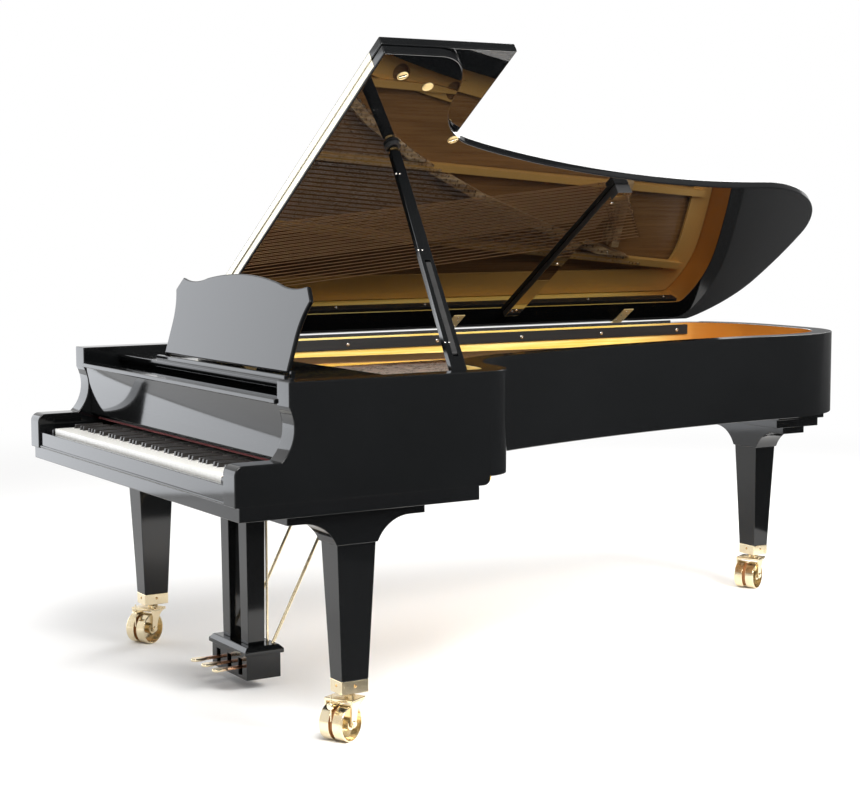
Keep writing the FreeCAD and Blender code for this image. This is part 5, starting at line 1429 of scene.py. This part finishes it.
class PIANO_OT_stage(bpy.types.Operator):
    """Pale floor, white world, dark cards, soft boxes and the camera"""

    bl_idname = "piano.stage"
    bl_label = "Stage"

    def execute(self, context):
        self.floor()
        self.world(context.scene)
        self.cards()
        self.lights()
        self.camera(context.scene)
        context.scene.view_settings.view_transform = "Standard"
        return {"FINISHED"}

    def floor(self):
        bpy.ops.object.select_all(action="DESELECT")
        bpy.ops.mesh.primitive_circle_add(vertices=96, radius=FLOOR_RADIUS, fill_type="NGON",
                                          location=FLOOR_PLACE)
        ground = settle("floor")
        finish = Finish("studio_floor")
        speck = finish.noise(160.0, 3.0)
        pale = finish.mix(speck * 0.2, tint("floor"), toned(tint("floor"), 0.97))
        finish.set(Base_Color=pale, Roughness=0.75, Specular_IOR_Level=0.1)
        glow = finish.add("ShaderNodeEmission", None, {"Color": (1, 1, 1), "Strength": 1.0})
        distance = finish.add("ShaderNodeVectorMath", {"operation": "DISTANCE"},
                              {0: finish.place, 1: FLOOR_MIDDLE}, "Value")
        far = finish.fade(distance, *FLOOR_FADE)
        plain = Value(finish, finish.shader.outputs[0])
        finish.surface(finish.add("ShaderNodeMixShader", None, {0: far * finish.seen(), 1: plain, 2: glow}))
        ground.data.materials.append(finish.material)

    def world(self, scene):
        world = bpy.data.worlds.new("studio")
        scene.world = world
        world.use_nodes = True
        shading = Shading(world.node_tree)
        background = shading.nodes["Background"].inputs
        shading.feed(background["Color"], (1, 1, 1))
        shading.feed(background["Strength"], WORLD_LIGHT + shading.seen() * (1 - WORLD_LIGHT))

    def cards(self):
        """Dark cards that only the polish sees, so that the sides facing them stay black."""
        for name, place, aim, width, height, dim, bright in CARDS:
            bpy.ops.object.select_all(action="DESELECT")
            bpy.ops.mesh.primitive_plane_add(size=1)
            card = bpy.context.object
            card.name = name
            card.scale = (width, height, 1)
            card.rotation_euler = aimed(place, aim, "Z")
            card.location = place
            finish = Finish(name)
            upper = finish.fade(finish.axis("Y"), -0.5, 0.5)
            glow = finish.mix(upper, (dim,) * 3, (bright,) * 3)
            finish.surface(finish.add("ShaderNodeEmission", None, {"Color": glow}))
            card.data.materials.append(finish.material)
            card.visible_camera = False
            card.visible_diffuse = False
            card.visible_shadow = False

    def lights(self):
        for name, place, aim, width, height, power, hue in LIGHTS:
            lamp = bpy.data.lights.new(name, "AREA")
            lamp.shape = "RECTANGLE"
            lamp.size = width
            lamp.size_y = height
            lamp.energy = power
            lamp.color = hue
            holder = bpy.data.objects.new(name, lamp)
            bpy.context.scene.collection.objects.link(holder)
            holder.location = place
            holder.rotation_euler = aimed(place, aim, "-Z")
            holder.visible_camera = False

    def camera(self, scene):
        lens = bpy.data.cameras.new("camera")
        lens.sensor_fit = "HORIZONTAL"
        lens.sensor_width = CAMERA_SENSOR
        lens.lens = CAMERA_LENS
        holder = bpy.data.objects.new("camera", lens)
        scene.collection.objects.link(holder)
        holder.location = CAMERA_PLACE
        holder.rotation_euler = [math.radians(turn) for turn in CAMERA_TURN]
        scene.camera = holder


PIECE_OPERATORS = (
    PIANO_OT_case,
    PIANO_OT_belly,
    PIANO_OT_plate,
    PIANO_OT_strings,
    PIANO_OT_keys,
    PIANO_OT_action,
    PIANO_OT_lid,
    PIANO_OT_props,
    PIANO_OT_front,
    PIANO_OT_legs,
    PIANO_OT_casters,
    PIANO_OT_lyre,
    PIANO_OT_stage,
)


class PIANO_PT_panel(bpy.types.Panel):
    """Lists the piano's sizes, colours and pieces"""

    bl_label = "Concert grand piano"
    bl_idname = "PIANO_PT_panel"
    bl_space_type = "VIEW_3D"
    bl_region_type = "UI"
    bl_category = "Piano"

    def draw(self, context):
        for settings in (context.scene.piano_sizes, context.scene.piano_colours):
            column = self.layout.column(align=True)
            for name in settings.__annotations__:
                column.prop(settings, name)
        for operator in PIECE_OPERATORS:
            self.layout.operator(operator.bl_idname)


CLASSES = (PianoSizes, PianoColours, *PIECE_OPERATORS, PIANO_PT_panel)


def register():
    for item in CLASSES:
        bpy.utils.register_class(item)
    bpy.types.Scene.piano_sizes = bpy.props.PointerProperty(type=PianoSizes)
    bpy.types.Scene.piano_colours = bpy.props.PointerProperty(type=PianoColours)


def unregister():
    del bpy.types.Scene.piano_colours
    del bpy.types.Scene.piano_sizes
    for item in reversed(CLASSES):
        bpy.utils.unregister_class(item)


def main():
    register()
    for operator in PIECE_OPERATORS:
        group, name = operator.bl_idname.split(".")
        getattr(getattr(bpy.ops, group), name)()


if __name__ == "__main__":
    main()
